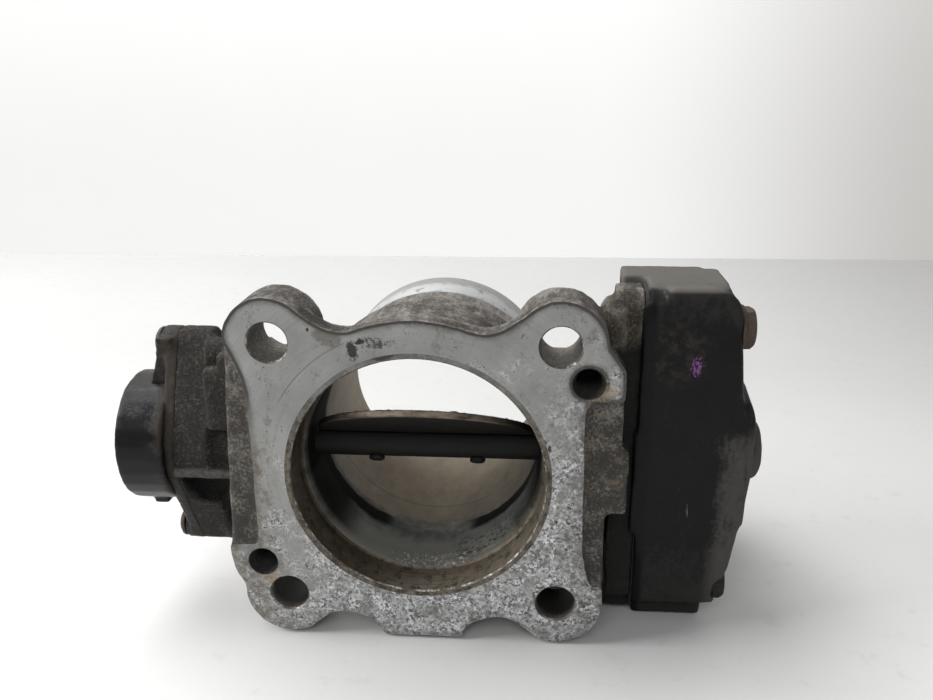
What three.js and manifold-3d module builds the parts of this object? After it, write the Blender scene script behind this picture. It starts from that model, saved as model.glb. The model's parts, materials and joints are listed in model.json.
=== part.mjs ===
// Electronic throttle body.
//
// A cast housing holds a round bore with a four-bolt flange at one end and a hose spigot at the
// other. A plate on a cross shaft opens and closes the bore. A small motor turns the shaft through
// two pairs of gears under a plastic cover, and a position sensor sits on the shaft's far end.
//
// Millimetres. X runs along the throttle shaft towards the gears, Y along the bore from the flange
// face towards the spigot, Z up. Every size below is measured from the bore's centre on the flange
// face; the last lines move the whole part so that its origin is under its middle.

import * as THREE from 'three';
import { mergeVertices } from 'three/addons/utils/BufferGeometryUtils.js';
import Module from 'manifold-3d';

const wasm = await Module();
wasm.setup();

// ---------------------------------------------------------------- driving dimensions

const gap = 0.3;                    // clearance between neighbouring pieces
const sliver = 0.03;                // detail smaller than this is merged away after the cuts
const floorZ = -43.3;               // level of the surface that the part stands on

const boreR = 27.5;                 // throttle bore
const mouthR = 29.2;                // slightly wider mouth at the flange
const mouthDepth = 9.5;
const mouthZ = -0.6;                // the mouth sits a little below the bore's axis
const mouthChamfer = 0.4;
const barrelR = 32.4;               // cast outside of the bore near the flange
const barrelEnd = 36;
const spigotR = 29.6;               // hose spigot, outside
const spigotEnd = 69;
const spigotStart = 48;

const boltPitch = 63.8;             // square pattern of the flange bolts
const boltHoleR = 4.5;
const boltChamfer = 0.7;
const upperEarR = 10.2;
const lowerEarR = 10.8;
const earDepth = 12.5;
const flangeDepth = 6;
const stepDepth = 0.8;              // how far the cast edge strips lie behind the machined face

const shaftY = 20;                  // throttle shaft, along X through the bore's axis
const shaftR = 4;
const shaftStart = -69;
const shaftEnd = 66.5;
const plateR = 27;
const plateThickness = 1.6;
const plateSeat = 1.2;              // height of the shaft's flat above its axis
const restAngle = 33;               // degrees between the plate and the bore's axis
const plateScrewX = 12.5;

const bearingR = 7.5;
const bearingWidth = 9;
const sealWidth = 3;
const rightSeatStart = 33;

const caseBack = 44;                // gear case, cast half: X range of the tray
const trayFloor = 46.5;
const trayRim = 50.05;
const gasketStart = trayRim + gap;
const gasketEnd = gasketStart + 0.75;
const coverRim = gasketEnd + gap;
const coverFace = 72.4;
const coverWall = 2.4;
const lowerFace = 70;               // outer face of the cover's lower lobe
const domeFace = 76.6;
const domeR = 19.5;
const bossFace = 79.6;
const bossR = 8;
const casePull = 1.2;               // how far the casting's edge lies inside the cover's edge
const caseFront = 9;                // outline of the gear case in Y and Z
const caseRear = 63;
const caseShoulder = 16;
const caseTop = 42.4;
const caseBottom = -37.6;
const lobeFront = 12.5;

const motorY = 46.5;
const motorZ = -22;
const motorR = 12;
const motorStart = 28.8;
const motorWall = 1;
const motorShaftR = 1;
const casingR = 15.3;               // cast casing around the motor

const pressureAngle = THREE.MathUtils.degToRad(25);
const backlash = 0.12;              // taken off each tooth's thickness
const spread = 0.1;                 // added to each gear pair's centre distance
const sectorTeeth = 36;             // teeth that the sector would have as a full gear
const idlerSmallTeeth = 12;
const outputModule = 1;
const idlerLargeTeeth = 36;
const pinionTeeth = 10;
const inputModule = 0.8;
const openTravel = 33;              // degrees from rest to fully open
const closeTravel = 50;             // degrees from rest to closed

const sensorFace = -59.6;           // cast face that the sensor is screwed to
const sensorPadR = 14.5;
const sensorLugR = 4.1;
const sensorLugZ = 25;
const sensorPlate = 2.3;
const sensorCapR = 16.2;
const sensorCapEnd = -73;
const sensorCapWall = 1.9;

const coverBolts = [                // places in Y and Z, and the face that each head sits on
  { y: 14.2, z: 32.4, seat: coverFace },
  { y: 14.2, z: -32.4, seat: coverFace - 1.5 },
  { y: 57.5, z: 11.5, seat: coverFace },
  { y: 57.5, z: -37.7, seat: lowerFace },
];
const coverBoltR = 2.5;

// ---------------------------------------------------------------- solids and placing

function facets(radius) {
  return radius > 20 ? 48 : radius > 10 ? 28 : radius > 4 ? 16 : 10;
}

function solid(geometry) {
  const bare = geometry.index ? geometry.toNonIndexed() : geometry.clone();
  bare.deleteAttribute('normal');
  bare.deleteAttribute('uv');
  const merged = mergeVertices(bare, 1e-4);
  return new wasm.Manifold(new wasm.Mesh({
    numProp: 3,
    vertProperties: Float32Array.from(merged.attributes.position.array),
    triVerts: Uint32Array.from(merged.index.array),
  }));
}

function join(...solids) {
  return solids.reduce((all, next) => all.add(next));
}

function cut(body, ...tools) {
  return tools.reduce((left, tool) => left.subtract(tool), body);
}

function box(x0, x1, y0, y1, z0, z1) {
  const geometry = new THREE.BoxGeometry(x1 - x0, y1 - y0, z1 - z0);
  geometry.translate((x0 + x1) / 2, (y0 + y1) / 2, (z0 + z1) / 2);
  return solid(geometry);
}

// A cylinder or cone along X, from x0 with radius r0 to x1 with radius r1.
function coneX(r0, r1, x0, x1, y, z, sides = facets(Math.max(r0, r1))) {
  const geometry = new THREE.CylinderGeometry(r1, r0, x1 - x0, sides);
  geometry.rotateZ(-Math.PI / 2);
  geometry.translate((x0 + x1) / 2, y, z);
  return solid(geometry);
}

function rodX(r, x0, x1, y, z, sides) {
  return coneX(r, r, x0, x1, y, z, sides);
}

function ringX(outer, inner, x0, x1, y, z) {
  return cut(rodX(outer, x0, x1, y, z), rodX(inner, x0 - 1, x1 + 1, y, z));
}

// The same along Y.
function coneY(r0, r1, y0, y1, x, z, sides = facets(Math.max(r0, r1))) {
  const geometry = new THREE.CylinderGeometry(r1, r0, y1 - y0, sides);
  geometry.translate(x, (y0 + y1) / 2, z);
  return solid(geometry);
}

function rodY(r, y0, y1, x, z, sides) {
  return coneY(r, r, y0, y1, x, z, sides);
}

function extruded(points, depth) {
  return new THREE.ExtrudeGeometry(new THREE.Shape(points), { depth, bevelEnabled: false });
}

// A flat outline of (x, z) points, thick along Y.
function plateY(points, y0, y1) {
  const geometry = extruded(points, y1 - y0);
  geometry.rotateX(Math.PI / 2);
  geometry.translate(0, y1, 0);
  return solid(geometry);
}

// A flat outline of (y, z) points, thick along X.
function plateX(points, x0, x1) {
  const geometry = extruded(points, x1 - x0);
  const turn = new THREE.Matrix4().makeBasis(
    new THREE.Vector3(0, 1, 0), new THREE.Vector3(0, 0, 1), new THREE.Vector3(1, 0, 0));
  geometry.applyMatrix4(turn);
  geometry.translate(x0, 0, 0);
  return solid(geometry);
}

// ---------------------------------------------------------------- outlines

function point(u, v) {
  return new THREE.Vector2(u, v);
}

// Points on an arc about (u, v); the angles are in degrees and either may be the larger.
function arc(u, v, r, from, to) {
  const steps = Math.max(2, Math.ceil(Math.abs(to - from) / 15));
  return Array.from({ length: steps + 1 }, (_, i) => {
    const angle = THREE.MathUtils.degToRad(from + (to - from) * i / steps);
    return point(u + r * Math.cos(angle), v + r * Math.sin(angle));
  });
}

function bend(start, control, end, steps = 6) {
  return new THREE.QuadraticBezierCurve(start, control, end).getPoints(steps);
}

// A closed outline through corners [u, v, radius], each rounded with an arc. The corners run
// anticlockwise, and inset moves every side inwards.
function rounded(corners, inset = 0) {
  const count = corners.length;
  const spots = corners.map(([u, v]) => point(u, v));
  const moved = spots.map((here, i) => {
    const before = here.clone().sub(spots[(i + count - 1) % count]).normalize();
    const after = spots[(i + 1) % count].clone().sub(here).normalize();
    const turn = before.cross(after);
    const along = before.clone().sub(after).multiplyScalar(-inset / (turn || 1));
    return { spot: here.clone().add(along), turn };
  });
  return moved.flatMap(({ spot, turn }, i) => {
    const toBefore = moved[(i + count - 1) % count].spot.clone().sub(spot).normalize();
    const toAfter = moved[(i + 1) % count].spot.clone().sub(spot).normalize();
    const r = Math.max(0.5, corners[i][2] + (turn > 0 ? -inset : inset));
    const half = toBefore.angleTo(toAfter) / 2;
    const inwards = toBefore.clone().add(toAfter).normalize();
    const centre = spot.clone().addScaledVector(inwards, r / Math.sin(half));
    const first = spot.clone().add(toBefore.multiplyScalar(r / Math.tan(half))).sub(centre);
    const sweep = (Math.PI - 2 * half) * Math.sign(turn);
    const steps = Math.max(1, Math.ceil(Math.abs(sweep) / 0.4));
    return Array.from({ length: steps + 1 }, (_, k) =>
      first.clone().rotateAround(point(0, 0), sweep * k / steps).add(centre));
  });
}

// Two lugs either side of a round body, with straight sides that touch all three circles.
function lugOutline(inset = 0) {
  const body = sensorPadR - inset;
  const lug = sensorLugR - inset;
  const lean = THREE.MathUtils.radToDeg(Math.asin((body - lug) / sensorLugZ));
  return [
    ...arc(shaftY, sensorLugZ, lug, lean, 180 - lean),
    ...arc(shaftY, 0, body, 180 - lean, 180 + lean),
    ...arc(shaftY, -sensorLugZ, lug, 180 + lean, 360 - lean),
    ...arc(shaftY, 0, body, -lean, lean),
  ];
}

const gearCaseCorners = [           // edge of the whole case, with its lower lobe
  [caseFront, caseBottom, 2], [lobeFront, caseBottom, 1], [lobeFront, floorZ, 2.5],
  [caseRear, floorZ, 6], [caseRear, caseShoulder, 8], [31, 26, 5], [31, caseTop, 3], [caseFront, caseTop, 6],
];
const coverCorners = [              // edge of the cover's deep part, without the lobe
  [caseFront, caseBottom, 2.5], [53, caseBottom, 8], [caseRear, -26, 8], [caseRear, caseShoulder, 8],
  [31, 26, 5], [31, caseTop, 3], [caseFront, caseTop, 6],
];

// ---------------------------------------------------------------- gears

function involute(angle) {
  return Math.tan(angle) - angle;
}

// The outline of one tooth about an angle in radians, from root to root.
function toothOutline(teeth, module, angle) {
  const pitchR = teeth * module / 2;
  const baseR = pitchR * Math.cos(pressureAngle);
  const rootR = pitchR - 1.25 * module;
  const tipR = pitchR + 0.9 * module;
  const halfAtPitch = Math.PI / (2 * teeth) - backlash / (2 * pitchR);
  const flank = [rootR, (pitchR + Math.max(rootR, baseR)) / 2, pitchR + 0.35 * module, tipR];
  const side = flank.map((r) => {
    const slope = Math.acos(Math.min(1, baseR / r));
    return { r, half: halfAtPitch + involute(pressureAngle) - involute(slope) };
  });
  const rising = side.map(({ r, half }) => ({ r, a: angle - half }));
  const falling = side.map(({ r, half }) => ({ r, a: angle + half })).reverse();
  return [...rising, ...falling];
}

function toothedOutline(teeth, module, phase, first, last, y, z) {
  const all = [];
  for (let k = first; k <= last; k += 1) {
    all.push(...toothOutline(teeth, module, phase + 2 * Math.PI * k / teeth));
  }
  return all.map(({ r, a }) => point(y + r * Math.cos(a), z + r * Math.sin(a)));
}

function gear(teeth, module, phase, x0, x1, y, z) {
  return plateX(toothedOutline(teeth, module, phase, 0, teeth - 1, y, z), x0, x1);
}

// The idler turns where its distances to the throttle shaft and the motor shaft both fit.
const outputDistance = (sectorTeeth + idlerSmallTeeth) * outputModule / 2 + spread;
const inputDistance = (idlerLargeTeeth + pinionTeeth) * inputModule / 2 + spread;
const shaftSpot = point(shaftY, 0);
const motorSpot = point(motorY, motorZ);
const between = motorSpot.clone().sub(shaftSpot);
const shaftToMotor = between.length();
const alongLine = (outputDistance ** 2 - inputDistance ** 2 + shaftToMotor ** 2) / (2 * shaftToMotor);
const offLine = Math.sqrt(outputDistance ** 2 - alongLine ** 2);
const idlerSpot = shaftSpot.clone()
  .addScaledVector(between.clone().normalize(), alongLine)
  .addScaledVector(point(-between.y, between.x).normalize(), offLine);
const idlerY = idlerSpot.x;
const idlerZ = idlerSpot.y;
const shaftToIdler = idlerSpot.clone().sub(shaftSpot).angle();
const idlerToMotor = motorSpot.clone().sub(idlerSpot).angle();

const inputGear = { x0: 52.8, x1: 57 };
const outputGear = { x0: 59.4, x1: 64.6 };

// The sector has teeth past each end of its travel. Teeth are counted from the one that faces the
// idler at rest, and the stop stands just clear of the last one when the throttle is fully open.
const toothSpacing = 360 / sectorTeeth;
const spareTeeth = 1;
const firstTooth = -Math.ceil(openTravel / toothSpacing + spareTeeth);
const lastTooth = Math.ceil(closeTravel / toothSpacing + spareTeeth);
const restTooth = THREE.MathUtils.radToDeg(shaftToIdler) - 360;
const stopR = 1.5;
const stopAngle = THREE.MathUtils.degToRad(restTooth + (lastTooth + 0.5) * toothSpacing + openTravel + 8);
const stopDistance = 14.25;

// ---------------------------------------------------------------- group and materials

const parts = new THREE.Group();

const looks = {
  castAluminium: { color: 0x8e8c88, roughness: 0.6, metalness: 0.7 },
  brass: { color: 0x8a7446, roughness: 0.5, metalness: 0.8 },
  steel: { color: 0x77736c, roughness: 0.4, metalness: 0.9 },
  rustySteel: { color: 0x5b4636, roughness: 0.7, metalness: 0.6 },
  springSteel: { color: 0x4c4a48, roughness: 0.4, metalness: 0.9 },
  blackPlastic: { color: 0x232323, roughness: 0.6, metalness: 0 },
  glossPlastic: { color: 0x1b1b1e, roughness: 0.25, metalness: 0 },
  palePlastic: { color: 0xd8cfb8, roughness: 0.5, metalness: 0 },
  rubber: { color: 0x1d1c1b, roughness: 0.85, metalness: 0 },
  copper: { color: 0xa9623a, roughness: 0.4, metalness: 0.9 },
  magnet: { color: 0x38383b, roughness: 0.7, metalness: 0.2 },
};

function addPart(name, body, look) {
  const data = body.simplify(sliver).getMesh();
  const geometry = new THREE.BufferGeometry();
  geometry.setAttribute('position', new THREE.BufferAttribute(Float32Array.from(data.vertProperties), 3));
  geometry.setIndex(new THREE.BufferAttribute(Uint32Array.from(data.triVerts), 1));
  geometry.computeVertexNormals();
  const mesh = new THREE.Mesh(geometry, new THREE.MeshStandardMaterial(look));
  mesh.name = name;
  parts.add(mesh);
}

// ---------------------------------------------------------------- housing

const boltOffset = boltPitch / 2;
const ears = [
  { x: -boltOffset, z: boltOffset, r: upperEarR },
  { x: boltOffset, z: boltOffset, r: upperEarR },
  { x: boltOffset, z: -boltOffset, r: lowerEarR },
  { x: -boltOffset, z: -boltOffset, r: lowerEarR },
];
const dowels = [{ x: 38, z: 23.7 }, { x: -37.7, z: -23.4 }];   // small threaded holes
const dowelR = 3.3;
const flangeLeft = -45.5;
const flangeRight = 45.9;

function flangeOutline() {
  const tab = { left: -9.5, right: 10, bottom: -42.5, shoulder: -40.2 };
  const arch = { x: 18.6, z: -36.4 };
  const earEnd = 40;                // where the fillet leaves an upper ear, degrees from level
  const crest = { x: 12.5, z: 35.1, control: 39.8 };
  const fillet = { x: 17.5, z: 33 };
  const leftTop = arc(-boltOffset, boltOffset, upperEarR, 180, earEnd);
  const rightTop = arc(boltOffset, boltOffset, upperEarR, 180 - earEnd, 0);
  const rightBottom = arc(boltOffset, -boltOffset, lowerEarR, 0, -114);
  const leftBottom = arc(-boltOffset, -boltOffset, lowerEarR, -66, -189);
  return [
    ...leftTop,
    ...bend(leftTop.at(-1), point(-fillet.x, fillet.z), point(-crest.x, crest.z)).slice(1),
    ...bend(point(-crest.x, crest.z), point(0, crest.control), point(crest.x, crest.z), 10).slice(1),
    ...bend(point(crest.x, crest.z), point(fillet.x, fillet.z), rightTop[0]).slice(1, -1),
    ...rightTop,
    point(flangeRight, 26.8),
    point(flangeRight, 7.8),
    point(flangeRight + 1.6, 7.8),
    point(flangeRight + 1.6, -8.4),
    point(rightBottom[0].x, -8.4),
    ...rightBottom,
    ...bend(rightBottom.at(-1), point(23, arch.z), point(arch.x, arch.z)).slice(1),
    ...bend(point(arch.x, arch.z), point(14, arch.z), point(tab.right, tab.shoulder)).slice(1),
    point(tab.right, tab.bottom),
    point(tab.left, tab.bottom),
    ...bend(point(tab.left, tab.shoulder), point(-14, arch.z), point(-arch.x, arch.z)),
    ...bend(point(-arch.x, arch.z), point(-23, arch.z), leftBottom[0]).slice(1, -1),
    ...leftBottom,
    ...bend(point(-43.2, -28.6), point(flangeLeft, -25.6), point(flangeLeft, -19)),
    point(-43.8, 10),
  ];
}

function housingOutside() {
  const flange = plateY(flangeOutline(), 0, flangeDepth);
  const bosses = ears.map(({ x, z, r }) => rodY(r, 0.5, earDepth, x, z, 28));
  const dowelBosses = dowels.map(({ x, z }) => rodY(dowelR + 1.6, 1, 15, x, z));
  const tabBoss = box(-9, 9.5, 1, earDepth, -42.9, -30);
  const barrel = rodY(barrelR, 1, barrelEnd, 0, 0);
  const taper = coneY(barrelR, spigotR, barrelEnd, spigotStart, 0, 0);
  const spigot = rodY(spigotR, spigotStart, spigotEnd, 0, 0);
  return join(flange, ...bosses, ...dowelBosses, tabBoss, barrel, taper, spigot);
}

function cornerWebs() {
  const reach = boltOffset - 5.5;   // the webs stop short of the bolt holes
  return ears.map(({ x, z }) => {
    const x0 = Math.sign(x) * 20;
    const z0 = Math.sign(z) * 20;
    const side = point(-Math.sign(z), Math.sign(x)).normalize().multiplyScalar(2.2);
    const far = point(Math.sign(x) * reach, Math.sign(z) * reach);
    const corners = [
      point(x0, z0).add(side), far.clone().add(side), far.clone().sub(side), point(x0, z0).sub(side),
    ];
    return plateY(corners, 2, 26);
  });
}

function sensorSide() {
  const boss = rodX(sensorPadR - 1.5, sensorFace, -28, shaftY, 0);
  const pad = plateX(lugOutline(), sensorFace, sensorFace + 9);
  const block = join(box(-50, -40, 5, 16, 8, 21), rodX(2.5, -50, -40, 7.5, 21));
  const shelf = box(sensorFace, -40, 4.5, 14, -4.5, -2);
  const lowerArm = rodX(sensorLugR - 0.4, -52, -36, shaftY - 3, -sensorLugZ + 1);
  const upperArm = rodX(sensorLugR - 0.4, -52, -38, shaftY - 4, sensorLugZ - 1);
  const lowerWeb = box(-44, -34, 5, shaftY, -27, -16);
  const upperWeb = box(-46, -34, 5, shaftY, 14, 27);
  return join(boss, pad, block, shelf, lowerArm, upperArm, lowerWeb, upperWeb);
}

function gearSide() {
  const tray = plateX(rounded(gearCaseCorners, casePull), caseBack, trayRim);
  const pocket = plateX(rounded(gearCaseCorners, casePull + 3), trayFloor, trayRim + 1);
  const columns = coverBolts.map(({ y, z }) => rodX(4.6, caseBack, trayRim, y, z));
  const shaftBoss = rodX(bearingR + 3, 28, trayFloor, shaftY, 0);
  const neck = box(26, caseBack + 1, 8, 33, -13, 13);
  const upperNeck = box(24, caseBack + 1, 12, 27, 17, 23);
  const lowerNeck = box(22, caseBack + 1, 12, 30, -28, -22);
  const bossSpot = coverBolts[0];
  const upperBoss = rodX(7, 42, trayFloor, bossSpot.y, bossSpot.z);
  const bossNose = coneX(4.6, 7, 40.6, 42.1, bossSpot.y, bossSpot.z);
  const motorCasing = rodX(casingR, 24, caseBack + 1, motorY, motorZ);
  const idlerBoss = rodX(4.6, 40.5, trayRim - 1, idlerY, idlerZ);
  const openStop = rodX(stopR, caseBack, outputGear.x1,
    shaftY + stopDistance * Math.cos(stopAngle), stopDistance * Math.sin(stopAngle));
  return join(cut(tray, pocket), ...columns, shaftBoss, neck, upperNeck, lowerNeck, upperBoss, bossNose,
    motorCasing, idlerBoss, openStop);
}

function housingCuts() {
  const mouth = rodY(mouthR, -1, mouthDepth, 0, mouthZ);
  const bore = rodY(boreR, mouthDepth - 1, spigotEnd + 1, 0, 0);
  const mouthEdge = coneY(mouthR + mouthChamfer + 0.2, mouthR, -0.2, mouthChamfer, 0, mouthZ);
  const bolts = ears.flatMap(({ x, z }) => [
    rodY(boltHoleR, -1, earDepth + 1, x, z, 20),
    coneY(boltHoleR + boltChamfer + 0.2, boltHoleR, -0.2, boltChamfer, x, z, 20),
  ]);
  const threads = dowels.map(({ x, z }) => rodY(dowelR, -1, 12, x, z));
  const leftEdge = [point(-50, 33), ...bend(point(-42.3, 33), point(-37.2, 24), point(-37.5, 16))];
  const leftStrip = plateY([...leftEdge, point(-38.1, -19), point(-50, -19)], -1, stepDepth);
  const rightEdge = [point(50, 19.8), point(38.6, 19.8), point(37.2, 17), point(37.4, -18)];
  const rightStrip = plateY([...rightEdge, point(39.5, -27), point(50, -27)], -1, stepDepth);
  const shaftHole = rodX(shaftR + gap, sensorFace - 1, trayRim + 1, shaftY, 0);
  const leftSeatEnd = sensorFace + bearingWidth + sealWidth + 3.4;
  const leftSeat = rodX(bearingR + gap, sensorFace - 1, leftSeatEnd, shaftY, 0);
  const rightSeat = rodX(bearingR + gap, rightSeatStart, trayRim + 1, shaftY, 0);
  const motorRoom = rodX(motorR + 0.4, motorStart - 1, trayRim + 1, motorY, motorZ);
  const pinHole = rodX(2 + gap, 42, trayRim + 1, idlerY, idlerZ);
  const boltThreads = coverBolts.map(({ y, z }) => rodX(coverBoltR + gap, caseBack - 3, trayRim + 1, y, z));
  const motorThreads = motorScrewSpots().map(({ y, z }) =>
    rodX(motorScrewR + gap, trayFloor - 5, trayFloor + 1, y, z));
  const sensorThreads = [-sensorLugZ, sensorLugZ].map((z) =>
    rodX(1.6 + gap, sensorFace - 1, sensorFace + 7, shaftY, z));
  const plugRoom = box(caseBack - 1, trayRim + 1, 20.2, 40, 26.4, caseTop + 1);
  const window = box(sensorFace + 1.5, -44.5, 3, 10, -13, -4.5);
  return [mouth, bore, mouthEdge, ...bolts, ...threads, leftStrip, rightStrip, shaftHole, leftSeat,
    rightSeat, motorRoom, pinHole, ...boltThreads, ...motorThreads, ...sensorThreads, plugRoom, window];
}

function addHousing() {
  const outside = join(housingOutside(), ...cornerWebs(), sensorSide(), gearSide());
  addPart('housing', cut(outside, ...housingCuts()), looks.castAluminium);
}

// ---------------------------------------------------------------- throttle shaft, plate and bearings

// Things on the shaft are drawn with the plate level, then turned to the rest angle.
function atRest(body) {
  return body.translate([0, -shaftY, 0]).rotate([-restAngle, 0, 0]).translate([0, shaftY, 0]);
}

function rodZ(r, z0, z1, x, y) {
  const geometry = new THREE.CylinderGeometry(r, r, z1 - z0, facets(r));
  geometry.rotateX(Math.PI / 2);
  geometry.translate(x, y, (z0 + z1) / 2);
  return solid(geometry);
}

function addShaft() {
  const flat = boreR + 0.8;
  const screwHoles = [-plateScrewX, plateScrewX].map((x) => rodZ(1.8, -9, 9, x, shaftY));
  const body = cut(
    rodX(shaftR, shaftStart, shaftEnd, shaftY, 0, 24),
    box(-flat, flat, shaftY - 6, shaftY + 6, plateSeat, 6),
    box(shaftStart - 1, -62.5, shaftY - 6, shaftY + 6, 2.4, 6),
    box(outputGear.x0 - 1, shaftEnd + 1, shaftY - 6, shaftY + 6, 2.8, 6),
    ...screwHoles);
  addPart('throttle_shaft', atRest(body), looks.steel);
}

function addPlate() {
  const bottom = plateSeat + gap;
  const disc = new THREE.CylinderGeometry(plateR, plateR, plateThickness, facets(plateR));
  disc.rotateX(Math.PI / 2);
  disc.translate(0, shaftY, bottom + plateThickness / 2);
  const holes = [-plateScrewX, plateScrewX].map((x) => rodZ(1.8, -9, 9, x, shaftY));
  addPart('throttle_plate', atRest(cut(solid(disc), ...holes)), looks.brass);
  const headBottom = bottom + plateThickness + gap;
  const names = ['plate_screw_sensor_side', 'plate_screw_gear_side'];
  names.forEach((name, i) => {
    const x = i === 0 ? -plateScrewX : plateScrewX;
    const screw = join(
      rodZ(1.5, -shaftR - 1.3, headBottom + 0.5, x, shaftY),
      rodZ(3, headBottom, headBottom + 1.5, x, shaftY));
    addPart(name, atRest(screw), looks.steel);
  });
}

function shaftRing(start, width) {
  return ringX(bearingR, shaftR + gap, start, start + width, shaftY, 0);
}

function addBearings() {
  const left = sensorFace + 0.8;
  const leftSeal = left + bearingWidth + 2 * gap;
  const rightSeal = rightSeatStart + gap;
  const right = rightSeal + sealWidth + 2 * gap;
  addPart('bearing_sensor_side', shaftRing(left, bearingWidth), looks.steel);
  addPart('seal_sensor_side', shaftRing(leftSeal, sealWidth - 1), looks.rubber);
  addPart('seal_gear_side', shaftRing(rightSeal, sealWidth), looks.rubber);
  addPart('bearing_gear_side', shaftRing(right, bearingWidth), looks.steel);
}

// ---------------------------------------------------------------- return spring

class Coil extends THREE.Curve {
  constructor(radius, turns, x0, x1, legs) {
    super();
    Object.assign(this, { radius, turns, x0, x1, legs });
  }

  // The first and last stretch run straight out as legs; the rest winds about the shaft.
  getPoint(t) {
    const wound = THREE.MathUtils.clamp((t - 0.04) / 0.92, 0, 1);
    const out = this.legs * Math.max(0, (0.04 - t) / 0.04, (t - 0.96) / 0.04);
    const angle = 2 * Math.PI * this.turns * wound + 2.2;
    const x = this.x0 + (this.x1 - this.x0) * wound;
    const r = this.radius + out;
    return new THREE.Vector3(x, shaftY + r * Math.cos(angle), r * Math.sin(angle));
  }
}

function addSpring() {
  const wireR = 0.6;
  const turns = 4.75;
  const path = new Coil(6.7, turns, trayRim - 1.4, outputGear.x0 - 1.6, 4);
  const wire = new THREE.Shape(arc(0, 0, wireR, 0, 300).filter((_, i) => i % 4 === 0));
  const geometry = new THREE.ExtrudeGeometry(wire, {
    steps: Math.round(turns * 16), extrudePath: path, bevelEnabled: false,
  });
  addPart('return_spring', solid(geometry), looks.springSteel);
}

// ---------------------------------------------------------------- gear train

function addSectorGear() {
  const rim = toothedOutline(sectorTeeth, outputModule, shaftToIdler, firstTooth, lastTooth, shaftY, 0);
  const hubR = 6.4;
  const beyond = 4;                 // degrees from an end tooth's middle to the sector's straight side
  const start = restTooth + lastTooth * toothSpacing + beyond;
  const end = restTooth + firstTooth * toothSpacing - beyond + 360;
  const outline = [...rim, ...arc(shaftY, 0, hubR, start, end)];
  const { x0, x1 } = outputGear;
  const hub = rodX(hubR, x0 - 1, x1 + 1.2, shaftY, 0, 32);
  const hole = cut(
    rodX(shaftR + gap, x0 - 3, x1 + 3, shaftY, 0),
    box(x0 - 4, x1 + 4, shaftY - 6, shaftY + 6, 2.8 + gap, 6));
  addPart('sector_gear', cut(join(plateX(outline, x0, x1), hub), atRest(hole)), looks.palePlastic);
}

function addIdler() {
  const smallPhase = shaftToIdler + Math.PI + Math.PI / idlerSmallTeeth;
  const large = gear(idlerLargeTeeth, inputModule, idlerToMotor, inputGear.x0, inputGear.x1, idlerY, idlerZ);
  const small = gear(idlerSmallTeeth, outputModule, smallPhase, inputGear.x1 - 0.5, outputGear.x1 + 0.8,
    idlerY, idlerZ);
  const groove = ringX(11.6, 7.8, inputGear.x0 - 1, inputGear.x0 + 1.2, idlerY, idlerZ);
  const hole = rodX(2 + gap, inputGear.x0 - 1, outputGear.x1 + 2, idlerY, idlerZ);
  addPart('idler_gear', cut(join(large, small), groove, hole), looks.palePlastic);
  addPart('idler_pin', rodX(2, 42 + gap, coverFace - 4, idlerY, idlerZ), looks.steel);
}

// ---------------------------------------------------------------- motor

const motorEars = 14.8;             // distance of the motor's screws from its shaft
const motorScrewR = 1.2;

function motorScrewSpots() {
  return [60, 190].map((degrees) => {
    const angle = THREE.MathUtils.degToRad(degrees);
    return { y: motorY + motorEars * Math.cos(angle), z: motorZ + motorEars * Math.sin(angle) };
  });
}

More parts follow.
